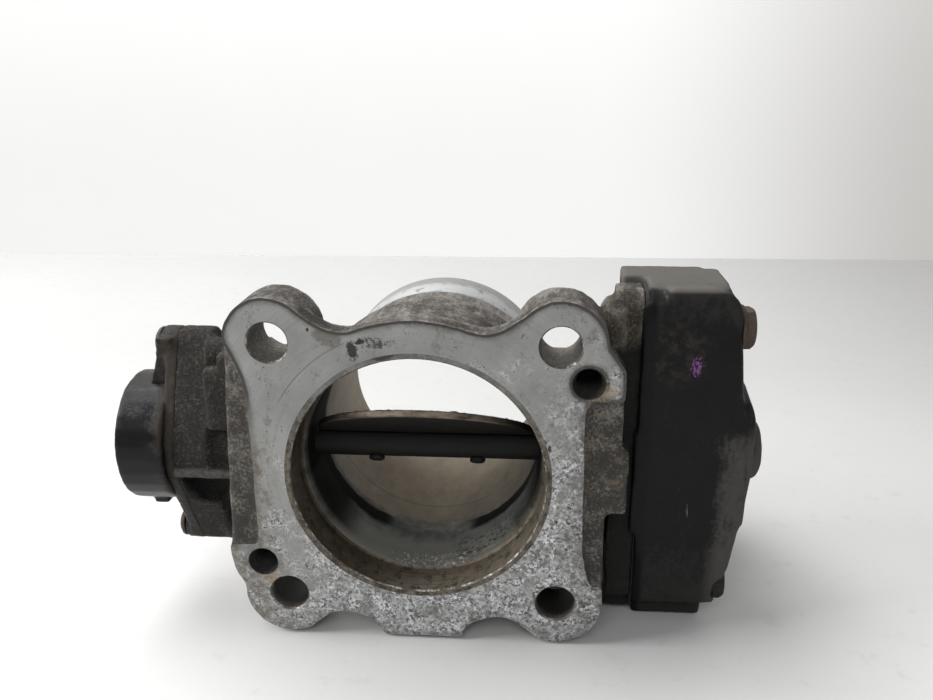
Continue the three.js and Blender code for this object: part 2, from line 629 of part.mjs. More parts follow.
function addMotor() {
  const canEnd = trayFloor + gap;
  const boss = rodX(3.5, motorStart - 0.6, motorStart + 1, motorY, motorZ);
  const room = rodX(motorR - motorWall, motorStart + motorWall, canEnd + 1, motorY, motorZ);
  const can = cut(join(rodX(motorR, motorStart, canEnd, motorY, motorZ), boss), room);
  addPart('motor_can', can, looks.steel);

  const magnetRing = ringX(motorR - motorWall - gap, 8.8, motorStart + 2.5, canEnd - 2, motorY, motorZ);
  const halves = [
    ['motor_magnet_upper', box(0, 60, motorY - 20, motorY + 20, motorZ + 2.5, motorZ + 20)],
    ['motor_magnet_lower', box(0, 60, motorY - 20, motorY + 20, motorZ - 20, motorZ - 2.5)],
  ];
  halves.forEach(([name, half]) => addPart(name, magnetRing.intersect(half), looks.magnet));

  const slots = [90, 210, 330].map((degrees) => {
    const angle = THREE.MathUtils.degToRad(degrees);
    return rodX(2.6, 30, 46, motorY + 6.4 * Math.cos(angle), motorZ + 6.4 * Math.sin(angle));
  });
  const core = cut(rodX(8.2, motorStart + 3.5, canEnd - 4, motorY, motorZ), ...slots);
  const commutator = rodX(3.2, canEnd - 4.5, canEnd - 1, motorY, motorZ);
  addPart('motor_armature', cut(join(core, commutator), rodX(motorShaftR + gap, 20, 60, motorY, motorZ)),
    looks.copper);
  addPart('motor_shaft', rodX(motorShaftR, motorStart + motorWall + gap, inputGear.x1 + 1.2, motorY, motorZ),
    looks.steel);

  const plateStart = canEnd + gap;
  const plateEnd = plateStart + 1.4;
  const lugs = motorScrewSpots().map(({ y, z }) => rodX(3.6, plateStart, plateEnd, y, z));
  const holes = motorScrewSpots().map(({ y, z }) =>
    rodX(motorScrewR + gap, plateStart - 1, plateEnd + 1, y, z));
  const endPlate = cut(
    join(rodX(motorR, plateStart, plateEnd, motorY, motorZ), ...lugs),
    rodX(motorShaftR + gap, 40, 60, motorY, motorZ), ...holes);
  addPart('motor_end_plate', endPlate, looks.steel);
  motorScrewSpots().forEach(({ y, z }, i) => {
    const head = rodX(2 * motorScrewR, plateEnd + gap, plateEnd + 1.7, y, z);
    const screw = join(rodX(motorScrewR, trayFloor - 4.5, plateEnd + 1, y, z), head);
    addPart(['motor_screw_upper', 'motor_screw_lower'][i], screw, looks.steel);
  });

  const pinionPhase = idlerToMotor + Math.PI + Math.PI / pinionTeeth;
  const pinion = gear(pinionTeeth, inputModule, pinionPhase, inputGear.x0 - 0.6, inputGear.x1 + 0.6,
    motorY, motorZ);
  addPart('motor_pinion', cut(pinion, rodX(motorShaftR + gap, 40, 60, motorY, motorZ)), looks.brass);
}

// ---------------------------------------------------------------- gear cover, gasket, plug and bolts

const plug = { x0: 46, x1: 66, y0: 20.8, y1: 31, z0: 27, wall: 1.9, pinEnd: 26.2 };

function addCover() {
  const deep = plateX(rounded(coverCorners), coverRim, coverFace);
  const lobe = plateX(rounded(gearCaseCorners), coverRim, lowerFace);
  const dome = coneX(domeR, domeR - 1.5, coverFace - 2, domeFace, shaftY, 0, 48)
    .intersect(plateX(rounded(coverCorners, 0.4), coverRim, domeFace + 1));
  const boss = coneX(bossR, bossR - 1, domeFace - 2, bossFace, shaftY, 0, 32);
  const lip = box(coverRim - 2.6, coverRim + 1, caseFront, caseFront + 1.2, -18, 8.5);
  const knob = rodX(3, coverFace - 4, coverFace + 1.4, 15, -20.5);
  const socketBody = box(plug.x0, plug.x1, plug.y0, plug.y1, plug.z0, caseTop);
  const shoulder = plateY(
    [point(66, caseTop + 0.5), point(coverFace + 0.5, caseTop - 6), point(90, 60)], 0, 50);
  const outside = join(cut(deep, shoulder), lobe, dome, boss, lip, knob, socketBody);

  const columns = coverBolts.map(({ y, z, seat }) => rodX(4.8, coverRim, seat - 0.5, y, z));
  const pinSocket = rodX(4.2, outputGear.x1 + 1.3, coverFace - 1, idlerY, idlerZ);
  const inside = join(
    plateX(rounded(coverCorners, coverWall), coverRim - 1, coverFace - coverWall),
    plateX(rounded(gearCaseCorners, coverWall), coverRim - 1, lowerFace - coverWall),
    rodX(domeR - coverWall - 0.8, coverFace - coverWall - 1, domeFace - coverWall, shaftY, 0)
      .intersect(plateX(rounded(coverCorners, coverWall), coverRim, domeFace)));
  const roof = plateY(
    [point(66 - coverWall, caseTop), point(coverFace, caseTop - 6 - coverWall), point(90, 60)], 0, 50);
  const rooms = cut(inside, roof, ...columns, pinSocket, socketBody);

  const socket = box(plug.x0 + plug.wall, plug.x1 - plug.wall, plug.y0 + plug.wall, plug.y1 + 1,
    plug.z0 + plug.wall, caseTop - plug.wall);
  const blades = pinSpots().map((x) => box(x - 0.7, x + 0.7, plug.y0 - 1, plug.y1, 33.6, 35.2));
  const bolts = coverBolts.flatMap(({ y, z, seat }) => [
    rodX(coverBoltR + gap, coverRim - 1, coverFace + 1, y, z),
    rodX(5.6, seat, coverFace + 1, y, z),
  ]);
  const pinHole = rodX(2 + gap, coverFace - 7, coverFace - 4 + gap, idlerY, idlerZ);
  addPart('gear_cover', cut(outside, rooms, socket, ...blades, ...bolts, pinHole), looks.blackPlastic);
}

function pinSpots() {
  const count = 6;
  const pitch = 2.4;
  const middle = (plug.x0 + plug.x1) / 2;
  return Array.from({ length: count }, (_, i) => middle + (i - (count - 1) / 2) * pitch);
}

function addTerminals() {
  const blades = pinSpots().map((x) => box(x - 0.4, x + 0.4, plug.y0 - 1.5, plug.pinEnd, 33.9, 34.9));
  const bar = box(pinSpots()[0] - 0.4, pinSpots().at(-1) + 0.4, plug.y0 - 1.5, plug.y0 - 0.6, 32.6, 34.9);
  addPart('plug_terminals', join(...blades, bar), looks.copper);
}

function addGasket() {
  const outer = plateX(rounded(gearCaseCorners, casePull + 0.2), gasketStart, gasketEnd);
  const inner = plateX(rounded(gearCaseCorners, casePull + 2), gasketStart - 1, gasketEnd + 1);
  const holes = coverBolts.map(({ y, z }) => rodX(coverBoltR + gap, gasketStart - 1, gasketEnd + 1, y, z));
  const eyes = coverBolts.map(({ y, z }) => rodX(4.4, gasketStart, gasketEnd, y, z));
  const clear = box(45.4, gasketEnd + 1, 20.2, 40, 26.4, caseTop + 1);
  const bridge = box(gasketStart, gasketEnd, 19, 30, 24.5, 26.1);
  addPart('cover_gasket', cut(join(cut(outer, inner), ...eyes, bridge), clear, ...holes), looks.rubber);
}

function addCoverBolts() {
  const names = [
    'cover_bolt_front_top', 'cover_bolt_front_bottom', 'cover_bolt_rear_top', 'cover_bolt_rear_bottom',
  ];
  coverBolts.forEach(({ y, z, seat }, i) => {
    const under = seat + gap;
    const bolt = join(
      rodX(coverBoltR, caseBack - 2, under + 1, y, z),
      rodX(5.2, under, under + 0.9, y, z),
      rodX(4.9, under, under + 3, y, z, 6));
    addPart(names[i], bolt, looks.rustySteel);
  });
}

// ---------------------------------------------------------------- position sensor

const mountStart = sensorFace - gap - sensorPlate;
const screwSeat = mountStart - 1.6;
const sensorPlug = { y1: 48, half: 5.5, x0: -72, x1: -63.4, wall: 1.3, pinEnd: 42.5 };

function addSensorMount() {
  const plate = plateX(lugOutline(), mountStart, mountStart + sensorPlate);
  const lugs = [-sensorLugZ, sensorLugZ].map((z) => rodX(sensorLugR, screwSeat, mountStart + 1, shaftY, z));
  const bushRooms = [-sensorLugZ, sensorLugZ].map((z) => rodX(3.1, screwSeat - 1, sensorFace, shaftY, z));
  const groove = ringX(12.2, 10, sensorFace - gap - 1.2, sensorFace, shaftY, 0);
  const hole = rodX(shaftR + 1, mountStart - 1, sensorFace, shaftY, 0);
  addPart('sensor_mount', cut(join(plate, ...lugs), ...bushRooms, groove, hole), looks.blackPlastic);
  const seal = ringX(11.9, 10.3, sensorFace - gap - 0.9, sensorFace - 0.15, shaftY, 0);
  addPart('sensor_seal', seal, looks.rubber);
  ['lower', 'upper'].forEach((place, i) => {
    const z = (2 * i - 1) * sensorLugZ;
    const bush = ringX(2.8, 1.9, screwSeat, sensorFace - gap, shaftY, z);
    addPart(`sensor_bush_${place}`, bush, looks.rustySteel);
    const head = coneX(2.6, 3.7, screwSeat - 1.9, screwSeat - gap, shaftY, z);
    const screw = join(rodX(1.6, screwSeat - 1, sensorFace + 6.5, shaftY, z), head);
    addPart(`sensor_screw_${place}`, screw, looks.rustySteel);
  });
}

function addSensorCap() {
  const capStart = mountStart - gap;
  const shell = rodX(sensorCapR, sensorCapEnd, capStart, shaftY, 0);
  const { y1, half, x0, x1, wall, pinEnd } = sensorPlug;
  const shroud = box(x0, x1, shaftY, y1, -half, half);
  const lip = box(-70, -66, shaftY - 6, shaftY + 6, -sensorCapR - 0.9, -sensorCapR + 1.6);
  const room = rodX(sensorCapR - sensorCapWall, sensorCapEnd + sensorCapWall, capStart + 1, shaftY, 0);
  const socket = box(x0 + wall, x1 - wall, shaftY + sensorCapR + 1.4, y1 + 1, -half + wall, half - wall);
  const blades = sensorPinSpots().map((z) => box(-68.4, -67, shaftY + 12, y1, z - 0.7, z + 0.7));
  addPart('sensor_cap', cut(join(shell, shroud, lip), room, socket, ...blades), looks.glossPlastic);

  const pins = sensorPinSpots().map((z) => box(-68.1, -67.3, shaftY + 12.2, pinEnd, z - 0.4, z + 0.4));
  const bar = box(-68.1, -67.3, shaftY + 12.2, shaftY + 13,
    sensorPinSpots()[0] - 0.4, sensorPinSpots().at(-1) + 0.4);
  addPart('sensor_terminals', join(...pins, bar), looks.copper);

  const rotor = cut(
    join(rodX(9.5, -70.4, -68.6, shaftY, 0), rodX(6, -70.4, -63, shaftY, 0)),
    atRest(cut(rodX(shaftR + gap, shaftStart - gap, -60, shaftY, 0),
      box(shaftStart - 2, -62.5 + gap, shaftY - 6, shaftY + 6, 2.4 + gap, 6))));
  addPart('sensor_rotor', rotor, looks.palePlastic);
}

function sensorPinSpots() {
  return [-2.6, 0, 2.6];
}

// ---------------------------------------------------------------- the assembly

addHousing();
addShaft();
addPlate();
addBearings();
addSpring();
addSectorGear();
addIdler();
addMotor();
addCover();
addTerminals();
addGasket();
addCoverBolts();
addSensorMount();
addSensorCap();

const bounds = new THREE.Box3().setFromObject(parts);
const middle = bounds.getCenter(new THREE.Vector3());
parts.position.set(-middle.x, -middle.y, -bounds.min.z);

const group = new THREE.Group();
group.add(parts);

export default group;
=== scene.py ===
"""Looks of a worn electronic throttle body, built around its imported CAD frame.

Shapes are made in millimetres from the bore's centre on the flange face: X along the throttle
shaft towards the gears, Y along the bore from the flange face to the spigot, Z up. Each finished
mesh is then moved into the row frame, in metres. Materials measure their places the same way.
"""

import json
import math

import bmesh
import bpy
import numpy as np
from mathutils import Matrix, Vector
from mathutils.kdtree import KDTree


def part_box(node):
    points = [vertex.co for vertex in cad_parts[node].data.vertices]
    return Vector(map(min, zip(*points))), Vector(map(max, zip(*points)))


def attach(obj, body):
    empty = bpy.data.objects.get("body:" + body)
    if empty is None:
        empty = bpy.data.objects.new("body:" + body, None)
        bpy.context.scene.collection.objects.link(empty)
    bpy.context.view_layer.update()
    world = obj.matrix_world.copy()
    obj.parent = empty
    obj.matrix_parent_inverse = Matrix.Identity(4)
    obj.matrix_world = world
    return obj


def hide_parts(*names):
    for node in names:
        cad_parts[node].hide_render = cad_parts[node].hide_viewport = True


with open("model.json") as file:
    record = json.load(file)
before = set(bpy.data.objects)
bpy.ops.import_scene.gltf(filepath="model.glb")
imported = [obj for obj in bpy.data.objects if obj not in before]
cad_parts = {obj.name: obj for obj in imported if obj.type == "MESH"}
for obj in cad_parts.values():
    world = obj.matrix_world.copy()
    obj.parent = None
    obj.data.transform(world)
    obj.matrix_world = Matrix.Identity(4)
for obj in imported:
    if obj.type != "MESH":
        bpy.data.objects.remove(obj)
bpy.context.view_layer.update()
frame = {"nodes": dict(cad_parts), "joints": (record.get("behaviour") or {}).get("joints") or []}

# ------------------------------------------------------------------ places and driving sizes

MM = 0.001
SHAFT_Y = 20                     # distance of the throttle shaft from the flange face

hinge = Vector(next(j for j in frame["joints"] if j["name"] == "throttle_hinge")["pos_m"])
bore_centre = Vector((hinge.x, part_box("housing")[0].y, hinge.z))
TO_ROW = Matrix.Translation(bore_centre) @ Matrix.Scale(MM, 4)
TO_BORE = TO_ROW.inverted()

BORE_R = 27.5
MOUTH_R = 29.2
MOUTH_Z = -0.6                   # the mouth's centre lies a little below the bore's
MOUTH_DEPTH = 9.5
STAIN_R = 30.6                   # the face is stained from the mouth out to here
SPIGOT_R = 29.6
SPIGOT_END = 69
BAND_START = 50.3                # where the turned hose seat begins on the spigot
BOLT_OFFSET = 31.9
BOLT_HOLE_R = 4.5
EAR_DEPTH = 12.5
DOWELS = [(38, 23.7), (-37.7, -23.4)]
DOWEL_R = 3.3
REST_ANGLE = 33                  # degrees between the plate and the bore's axis
MOTOR = (46.5, -22)              # the motor's axis in Y and Z
FACE_STOCK = 1.5                 # cast on in front of the flange face, then milled away
TRAY_RIM = 50.05                 # where the casting ends towards the cover's gasket
COVER_FRONT = 9                  # the cover's front side in Y
COVER_FACE = 72.4                # its broad outer face in X
DOME_FACE = 76.6                 # the face of the dome that stands on it
CASE_END = 51                    # the inner seats are cut on to here, past the casting's rim
SHAFT_ROOM_R, BEARING_SEAT_R, MOTOR_ROOM_R = 4.3, 7.8, 12.4
PLATE_R = 27
PLATE_BOTTOM, PLATE_TOP = 1.5, 3.1    # above the shaft's axis, with the plate level
PLATE_SCREWS = {"plate_screw_sensor_side": -12.5, "plate_screw_gear_side": 12.5}
SENSOR_SCREWS = {"sensor_screw_lower": -25, "sensor_screw_upper": 25}
CAST_VOXEL, COVER_VOXEL, SENSOR_VOXEL = 0.62, 0.55, 0.4

CORNERS = [(x, z) for x in (-BOLT_OFFSET, BOLT_OFFSET) for z in (-BOLT_OFFSET, BOLT_OFFSET)]
COVER_BOLTS = {
    "cover_bolt_front_top": (14.2, 32.4),
    "cover_bolt_front_bottom": (14.2, -32.4),
    "cover_bolt_rear_top": (57.5, 11.5),
    "cover_bolt_rear_bottom": (57.5, -37.7),
}


def local_box(node):
    """Lowest and highest corner of a CAD node, in millimetres from the bore's centre."""
    low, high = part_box(node)
    return TO_BORE @ low, TO_BORE @ high


# ------------------------------------------------------------------ meshes


def new_object(name, mesh):
    obj = bpy.data.objects.new(name, mesh)
    bpy.context.scene.collection.objects.link(obj)
    return obj


def discard(*objects):
    """Removes objects together with their meshes."""
    for obj in objects:
        mesh = obj.data
        bpy.data.objects.remove(obj)
        bpy.data.meshes.remove(mesh)


def from_bmesh(name, bm):
    bmesh.ops.recalc_face_normals(bm, faces=bm.faces)
    mesh = bpy.data.meshes.new(name)
    bm.to_mesh(mesh)
    bm.free()
    return new_object(name, mesh)


def copy_of(node):
    """The CAD node's mesh, welded, as a new object."""
    bm = bmesh.new()
    bm.from_mesh(frame["nodes"][node].data)
    bm.transform(TO_BORE)
    bmesh.ops.remove_doubles(bm, verts=bm.verts, dist=1e-3)
    return from_bmesh(node + "_copy", bm)


def placed(points, axis, centre):
    """Points (along, u, v) about an axis through centre, where u and v are its other two axes."""
    order = {"X": (0, 1, 2), "Y": (1, 2, 0), "Z": (2, 0, 1)}[axis]
    result = np.zeros((len(points), 3))
    for k, target in enumerate(order):
        result[:, target] = np.asarray(points)[:, k]
    return result + np.array(centre)


def lathe(name, profile, axis="X", centre=(0, 0, 0), steps=96):
    """A solid of revolution. The profile is a closed ring of (radius, along) points."""
    angles = np.arange(steps) * 2 * math.pi / steps
    rings = []
    bm = bmesh.new()
    for radius, along in profile:
        if radius == 0:
            spot = placed([(along, 0, 0)], axis, centre)[0]
            rings.append([bm.verts.new(spot)] * steps)
            continue
        ring = [(along, radius * math.cos(a), radius * math.sin(a)) for a in angles]
        rings.append([bm.verts.new(p) for p in placed(ring, axis, centre)])
    for first, second in zip(rings, rings[1:] + rings[:1]):
        if first[0] is first[1] and second[0] is second[1]:
            continue
        for k in range(steps):
            corners = [first[k], first[(k + 1) % steps], second[(k + 1) % steps], second[k]]
            bm.faces.new(list(dict.fromkeys(corners)))
    return from_bmesh(name, bm)


def rod(radius, start, end, axis="X", centre=(0, 0, 0), steps=96):
    profile = [(0, start), (radius, start), (radius, end), (0, end)]
    return lathe("rod", profile, axis, centre, steps)


def rod_x(radius, start, end, y, z, steps=64):
    return rod(radius, start, end, "X", (0, y, z), steps)


def rod_y(radius, start, end, x, z, steps=64):
    return rod(radius, start, end, "Y", (x, 0, z), steps)


def block(low, high, cell=None):
    """A box from corner to corner, with its faces cut into cells of about that size."""
    bm = bmesh.new()
    bmesh.ops.create_cube(bm, size=1)
    low, high = Vector(low), Vector(high)
    for vertex in bm.verts:
        vertex.co = Vector([low[k] if vertex.co[k] < 0 else high[k] for k in range(3)])
    if cell:
        for axis in range(3):
            normal = Vector([axis == 0, axis == 1, axis == 2])
            for cut in np.arange(low[axis] + cell, high[axis] - cell / 2, cell):
                spot = normal * cut
                whole = bm.verts[:] + bm.edges[:] + bm.faces[:]
                bmesh.ops.bisect_plane(bm, geom=whole, plane_co=spot, plane_no=normal)
    return from_bmesh("block", bm)


def prism(outline, start, end, axis="X"):
    """A flat outline of (u, v) points, thick along an axis."""
    bm = bmesh.new()
    ends = [placed([(along, u, v) for u, v in outline], axis, (0, 0, 0)) for along in (start, end)]
    near, far = [[bm.verts.new(p) for p in points] for points in ends]
    bm.faces.new(near)
    bm.faces.new(far)
    for k in range(len(near)):
        after = (k + 1) % len(near)
        bm.faces.new([near[k], near[after], far[after], far[k]])
    return from_bmesh("prism", bm)


def placed_prism(outline, start, end):
    """A flat outline of (x, z) points, thick along Y."""
    return prism([(z, x) for x, z in outline], start, end, "Y")


def evaluated(obj, name):
    """The object's mesh with its modifiers, as a new object; the old one is discarded."""
    depsgraph = bpy.context.evaluated_depsgraph_get()
    mesh = bpy.data.meshes.new_from_object(obj.evaluated_get(depsgraph))
    discard(obj)
    mesh.name = name
    return new_object(name, mesh)


def carve(target, cutters, operation="DIFFERENCE"):
    """Cuts one solid by several, or joins or intersects it with them, and discards them."""
    for cutter in cutters:
        modifier = target.modifiers.new("carve", "BOOLEAN")
        modifier.operation = operation
        modifier.solver = "MANIFOLD"
        modifier.object = cutter
    result = evaluated(target, target.name)
    discard(*cutters)
    return result


def union(pieces):
    return carve(pieces[0], pieces[1:], "UNION")


def fuse(name, pieces, voxel):
    """One even skin round overlapping solids."""
    bm = bmesh.new()
    for piece in pieces:
        bm.from_mesh(piece.data)
    discard(*pieces)
    mesh = bpy.data.meshes.new(name)
    bm.to_mesh(mesh)
    bm.free()
    obj = new_object(name, mesh)
    modifier = obj.modifiers.new("skin", "REMESH")
    modifier.mode = "VOXEL"
    modifier.voxel_size = voxel
    return evaluated(obj, name)


def points_of(mesh):
    co = np.zeros(len(mesh.vertices) * 3)
    mesh.vertices.foreach_get("co", co)
    return co.reshape(-1, 3)


def move_points(obj, co):
    obj.data.vertices.foreach_set("co", co.ravel())
    obj.data.update()


def normals_of(mesh):
    normal = np.zeros(len(mesh.vertices) * 3)
    mesh.vertices.foreach_get("normal", normal)
    return normal.reshape(-1, 3)


def edges_of(mesh):
    pairs = np.zeros(len(mesh.edges) * 2, int)
    mesh.edges.foreach_get("vertices", pairs)
    return pairs.reshape(-1, 2)


def smoothed(co, pairs, rounds, share=0.5):
    """Points moved towards the middle of their neighbours, again and again."""
    count = np.bincount(pairs.ravel(), minlength=len(co))[:, None]
    count = np.maximum(count, 1)
    for _ in range(rounds):
        total = np.zeros_like(co)
        for k in range(co.shape[1]):
            total[:, k] += np.bincount(pairs[:, 0], co[pairs[:, 1], k], len(co))
            total[:, k] += np.bincount(pairs[:, 1], co[pairs[:, 0], k], len(co))
        co = co + share * (total / count - co)
    return co


def relax(obj, rounds):
    """Rounds the edges and fills the corners of an evenly meshed solid."""
    move_points(obj, smoothed(points_of(obj.data), edges_of(obj.data), rounds))


def lumps(co, size, seed):
    """Smooth pseudo-random values from -1 to 1, made of sine waves in several directions."""
    rng = np.random.default_rng(seed)
    total = np.zeros(len(co))
    waves = 14
    for _ in range(waves):
        direction = rng.normal(size=3)
        direction /= np.linalg.norm(direction)
        length = size * rng.uniform(0.7, 1.6)
        total += np.sin(co @ direction * 2 * math.pi / length + rng.uniform(0, 2 * math.pi))
    return total / math.sqrt(waves)


def roughen(obj, layers, seed):
    """Moves the skin along its normals by layers of (wavelength, depth), mostly inwards."""
    co = points_of(obj.data)
    shift = np.zeros(len(co))
    for k, (size, depth) in enumerate(layers):
        shift += depth * (lumps(co, size, seed + k) - 0.6)
    move_points(obj, co + normals_of(obj.data) * shift[:, None])


def store(obj, name, values):
    layer = obj.data.attributes.new(name, "FLOAT", "POINT")
    layer.data.foreach_set("value", np.asarray(values, np.float32))


def store_wear(obj, rounds=14):
    """Stores how far each point stands out of its smoothed surroundings, in millimetres."""
    co = points_of(obj.data)
    pairs = edges_of(obj.data)
    length = np.linalg.norm(co[pairs[:, 0]] - co[pairs[:, 1]], axis=1)
    longest = 1.6                # longer edges cross flat faces, and tell nothing of the relief
    near = pairs[length < longest]
    away = co - smoothed(co, near, rounds)
    standing = np.einsum("ij,ij->i", away, normals_of(obj.data))
    store(obj, "wear", smoothed(standing[:, None], near, 2)[:, 0])


def face_places(mesh):
    centres = np.zeros(len(mesh.polygons) * 3)
    normals = np.zeros(len(mesh.polygons) * 3)
    mesh.polygons.foreach_get("center", centres)
    mesh.polygons.foreach_get("normal", normals)
    return centres.reshape(-1, 3), normals.reshape(-1, 3)


def finish_piece(obj, name, body, replaced, materials, pick=None, sharp=35):
    """Names the piece, shades it, moves it into the row frame and puts it on its body.

    pick gives each face's material from the faces' centres and normals."""
    mesh = obj.data
    obj.name = name
    mesh.name = name
    mesh.materials.clear()
    for material in materials:
        mesh.materials.append(material)
    chosen = np.zeros(len(mesh.polygons), np.int32)
    if pick:
        chosen = pick(*face_places(mesh)).astype(np.int32)
    mesh.polygons.foreach_set("material_index", chosen)
    mesh.shade_smooth()
    mesh.set_sharp_from_angle(angle=math.radians(sharp))
    mesh.transform(TO_ROW)
    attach(obj, body)
    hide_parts(replaced)


# ------------------------------------------------------------------ material helpers


class Shade:
    """A principled material whose nodes measure places in millimetres from the bore's centre."""

    def __init__(self, name):
        self.material = bpy.data.materials.new(name)
        self.material.use_nodes = True
        self.tree = self.material.node_tree
        self.surface = self.tree.nodes["Principled BSDF"]
        world = self.node("TexCoord", {}).outputs["Object"]
        scale = {"Vector": world, "Scale": (1 / MM,) * 3, "Location": -bore_centre / MM}
        self.place = self.node("Mapping", scale).outputs[0]
        self.x, self.y, self.z = self.node("SeparateXYZ", {0: self.place}).outputs
        self.height = None
        self.colour = None

    def feed(self, socket, value):
        """Links a node's output to a socket, or sets a plain number or colour on it."""
        if isinstance(value, bpy.types.NodeSocket):
            self.tree.links.new(value, socket)
        elif isinstance(value, tuple) and len(value) == 3 and socket.type == "RGBA":
            socket.default_value = (*value, 1)
        else:
            socket.default_value = value

    def node(self, kind, inputs, **settings):
        node = self.tree.nodes.new("ShaderNode" + kind)
        for setting, value in settings.items():
            setattr(node, setting, value)
        for socket, value in inputs.items():
            self.feed(node.inputs[socket], value)
        return node

    def math(self, operation, a, b=0.0):
        return self.node("Math", {0: a, 1: b}, operation=operation).outputs[0]

    def chain(self, operation, values):
        total = values[0]
        for value in values[1:]:
            total = self.math(operation, total, value)
        return total

    def add(self, *values):
        return self.chain("ADD", values)

    def times(self, *values):
        return self.chain("MULTIPLY", values)

    def most(self, *values):
        return self.chain("MAXIMUM", values)

    def less(self, a, b):
        return self.math("SUBTRACT", a, b)

    def absolute(self, a):
        return self.math("ABSOLUTE", a)

    def flip(self, a):
        return self.math("SUBTRACT", 1.0, a)

    def step(self, value, low, high):
        """0 below low, 1 above high, smooth between; low may be the larger."""
        ends = {"Value": value, "From Min": low, "From Max": high, "To Min": 0.0, "To Max": 1.0}
        if low > high:
            ends.update({"From Min": high, "From Max": low, "To Min": 1.0, "To Max": 0.0})
        return self.node("MapRange", ends, interpolation_type="SMOOTHSTEP").outputs["Result"]

    def within(self, **ranges):
        """1 where each named coordinate is past (from, to), or inside (from, to, back, end)."""
        shares = []
        for axis, ends in ranges.items():
            place = getattr(self, axis)
            shares.append(self.step(place, ends[0], ends[1]))
            if len(ends) == 4:
                shares.append(self.step(place, ends[3], ends[2]))
        return self.times(*shares)

    def noise(self, size, detail=3.0, rough=0.55, stretch=(1, 1, 1), shift=0.0, vector=None):
        """Cloudy values about 0.5, with blotches of about that size in millimetres."""
        if vector is None:
            moved = (shift, shift * 0.7, shift * 1.3)
            places = {"Vector": self.place, "Scale": stretch, "Location": moved}
            vector = self.node("Mapping", places).outputs[0]
        look = {"Vector": vector, "Scale": 1 / size, "Detail": detail, "Roughness": rough}
        return self.node("TexNoise", look).outputs["Fac"]

    def drift(self, *look, **more):
        """The same clouds about 0."""
        return self.less(self.noise(*look, **more), 0.5)

    def attribute(self, name):
        return self.node("Attribute", {}, attribute_name=name).outputs["Fac"]

    def vector(self, x, y, z):
        return self.node("CombineXYZ", {0: x, 1: y, 2: z}).outputs[0]

    def distance(self, u, v, a, b):
        """Distance of (u, v) from the point (a, b)."""
        first = self.math("POWER", self.absolute(self.less(u, a)), 2.0)
        second = self.math("POWER", self.absolute(self.less(v, b)), 2.0)
        return self.math("SQRT", self.add(first, second))

    def mark(self, place, half, tilt=0.0, ragged=1.2, size=0.6):
        """1 inside a small ragged ellipse on the flange face, 0 outside; tilt in degrees."""
        across = self.less(self.x, place[0])
        up = self.less(self.z, place[1])
        level = math.cos(math.radians(tilt))
        steep = math.sin(math.radians(tilt))
        along = self.times(self.add(self.times(across, level), self.times(up, steep)), 1 / half[0])
        over = self.times(self.less(self.times(up, level), self.times(across, steep)), 1 / half[1])
        wander = self.times(self.drift(size, 5.0, 0.7, shift=place[0]), ragged * 2)
        return self.step(self.add(self.distance(along, over, 0, 0), wander), 1.15, 0.85)

    def mix(self, share, a, b):
        """Colours a to b, as share goes from 0 to 1."""
        return self.node("Mix", {0: share, 6: a, 7: b}, data_type="RGBA").outputs[2]

    def paint(self, tint, *shares):
        """Covers the surface's colour with a tint, as far as the product of the shares."""
        self.colour = self.mix(self.times(*shares), self.colour, tint)

    def blend(self, share, a, b):
        """Numbers a to b, as share goes from 0 to 1."""
        return self.node("Mix", {0: share, 2: a, 3: b}, data_type="FLOAT").outputs[0]

    def raise_by(self, height, depth):
        """Adds a layer of relief, depth millimetres where height is 1."""
        layer = self.times(height, depth * MM)
        self.height = layer if self.height is None else self.add(self.height, layer)

    def done(self, roughness, metallic=0.0, specular=0.5):
        self.feed(self.surface.inputs["Base Color"], self.colour)
        self.feed(self.surface.inputs["Roughness"], roughness)
        self.feed(self.surface.inputs["Metallic"], metallic)
        self.surface.inputs["Specular IOR Level"].default_value = specular
        if self.height is not None:
            bump = self.node("Bump", {"Height": self.height, "Strength": 1.0, "Distance": 1.0})
            self.feed(self.surface.inputs["Normal"], bump.outputs[0])
        return self.material


# ------------------------------------------------------------------ materials


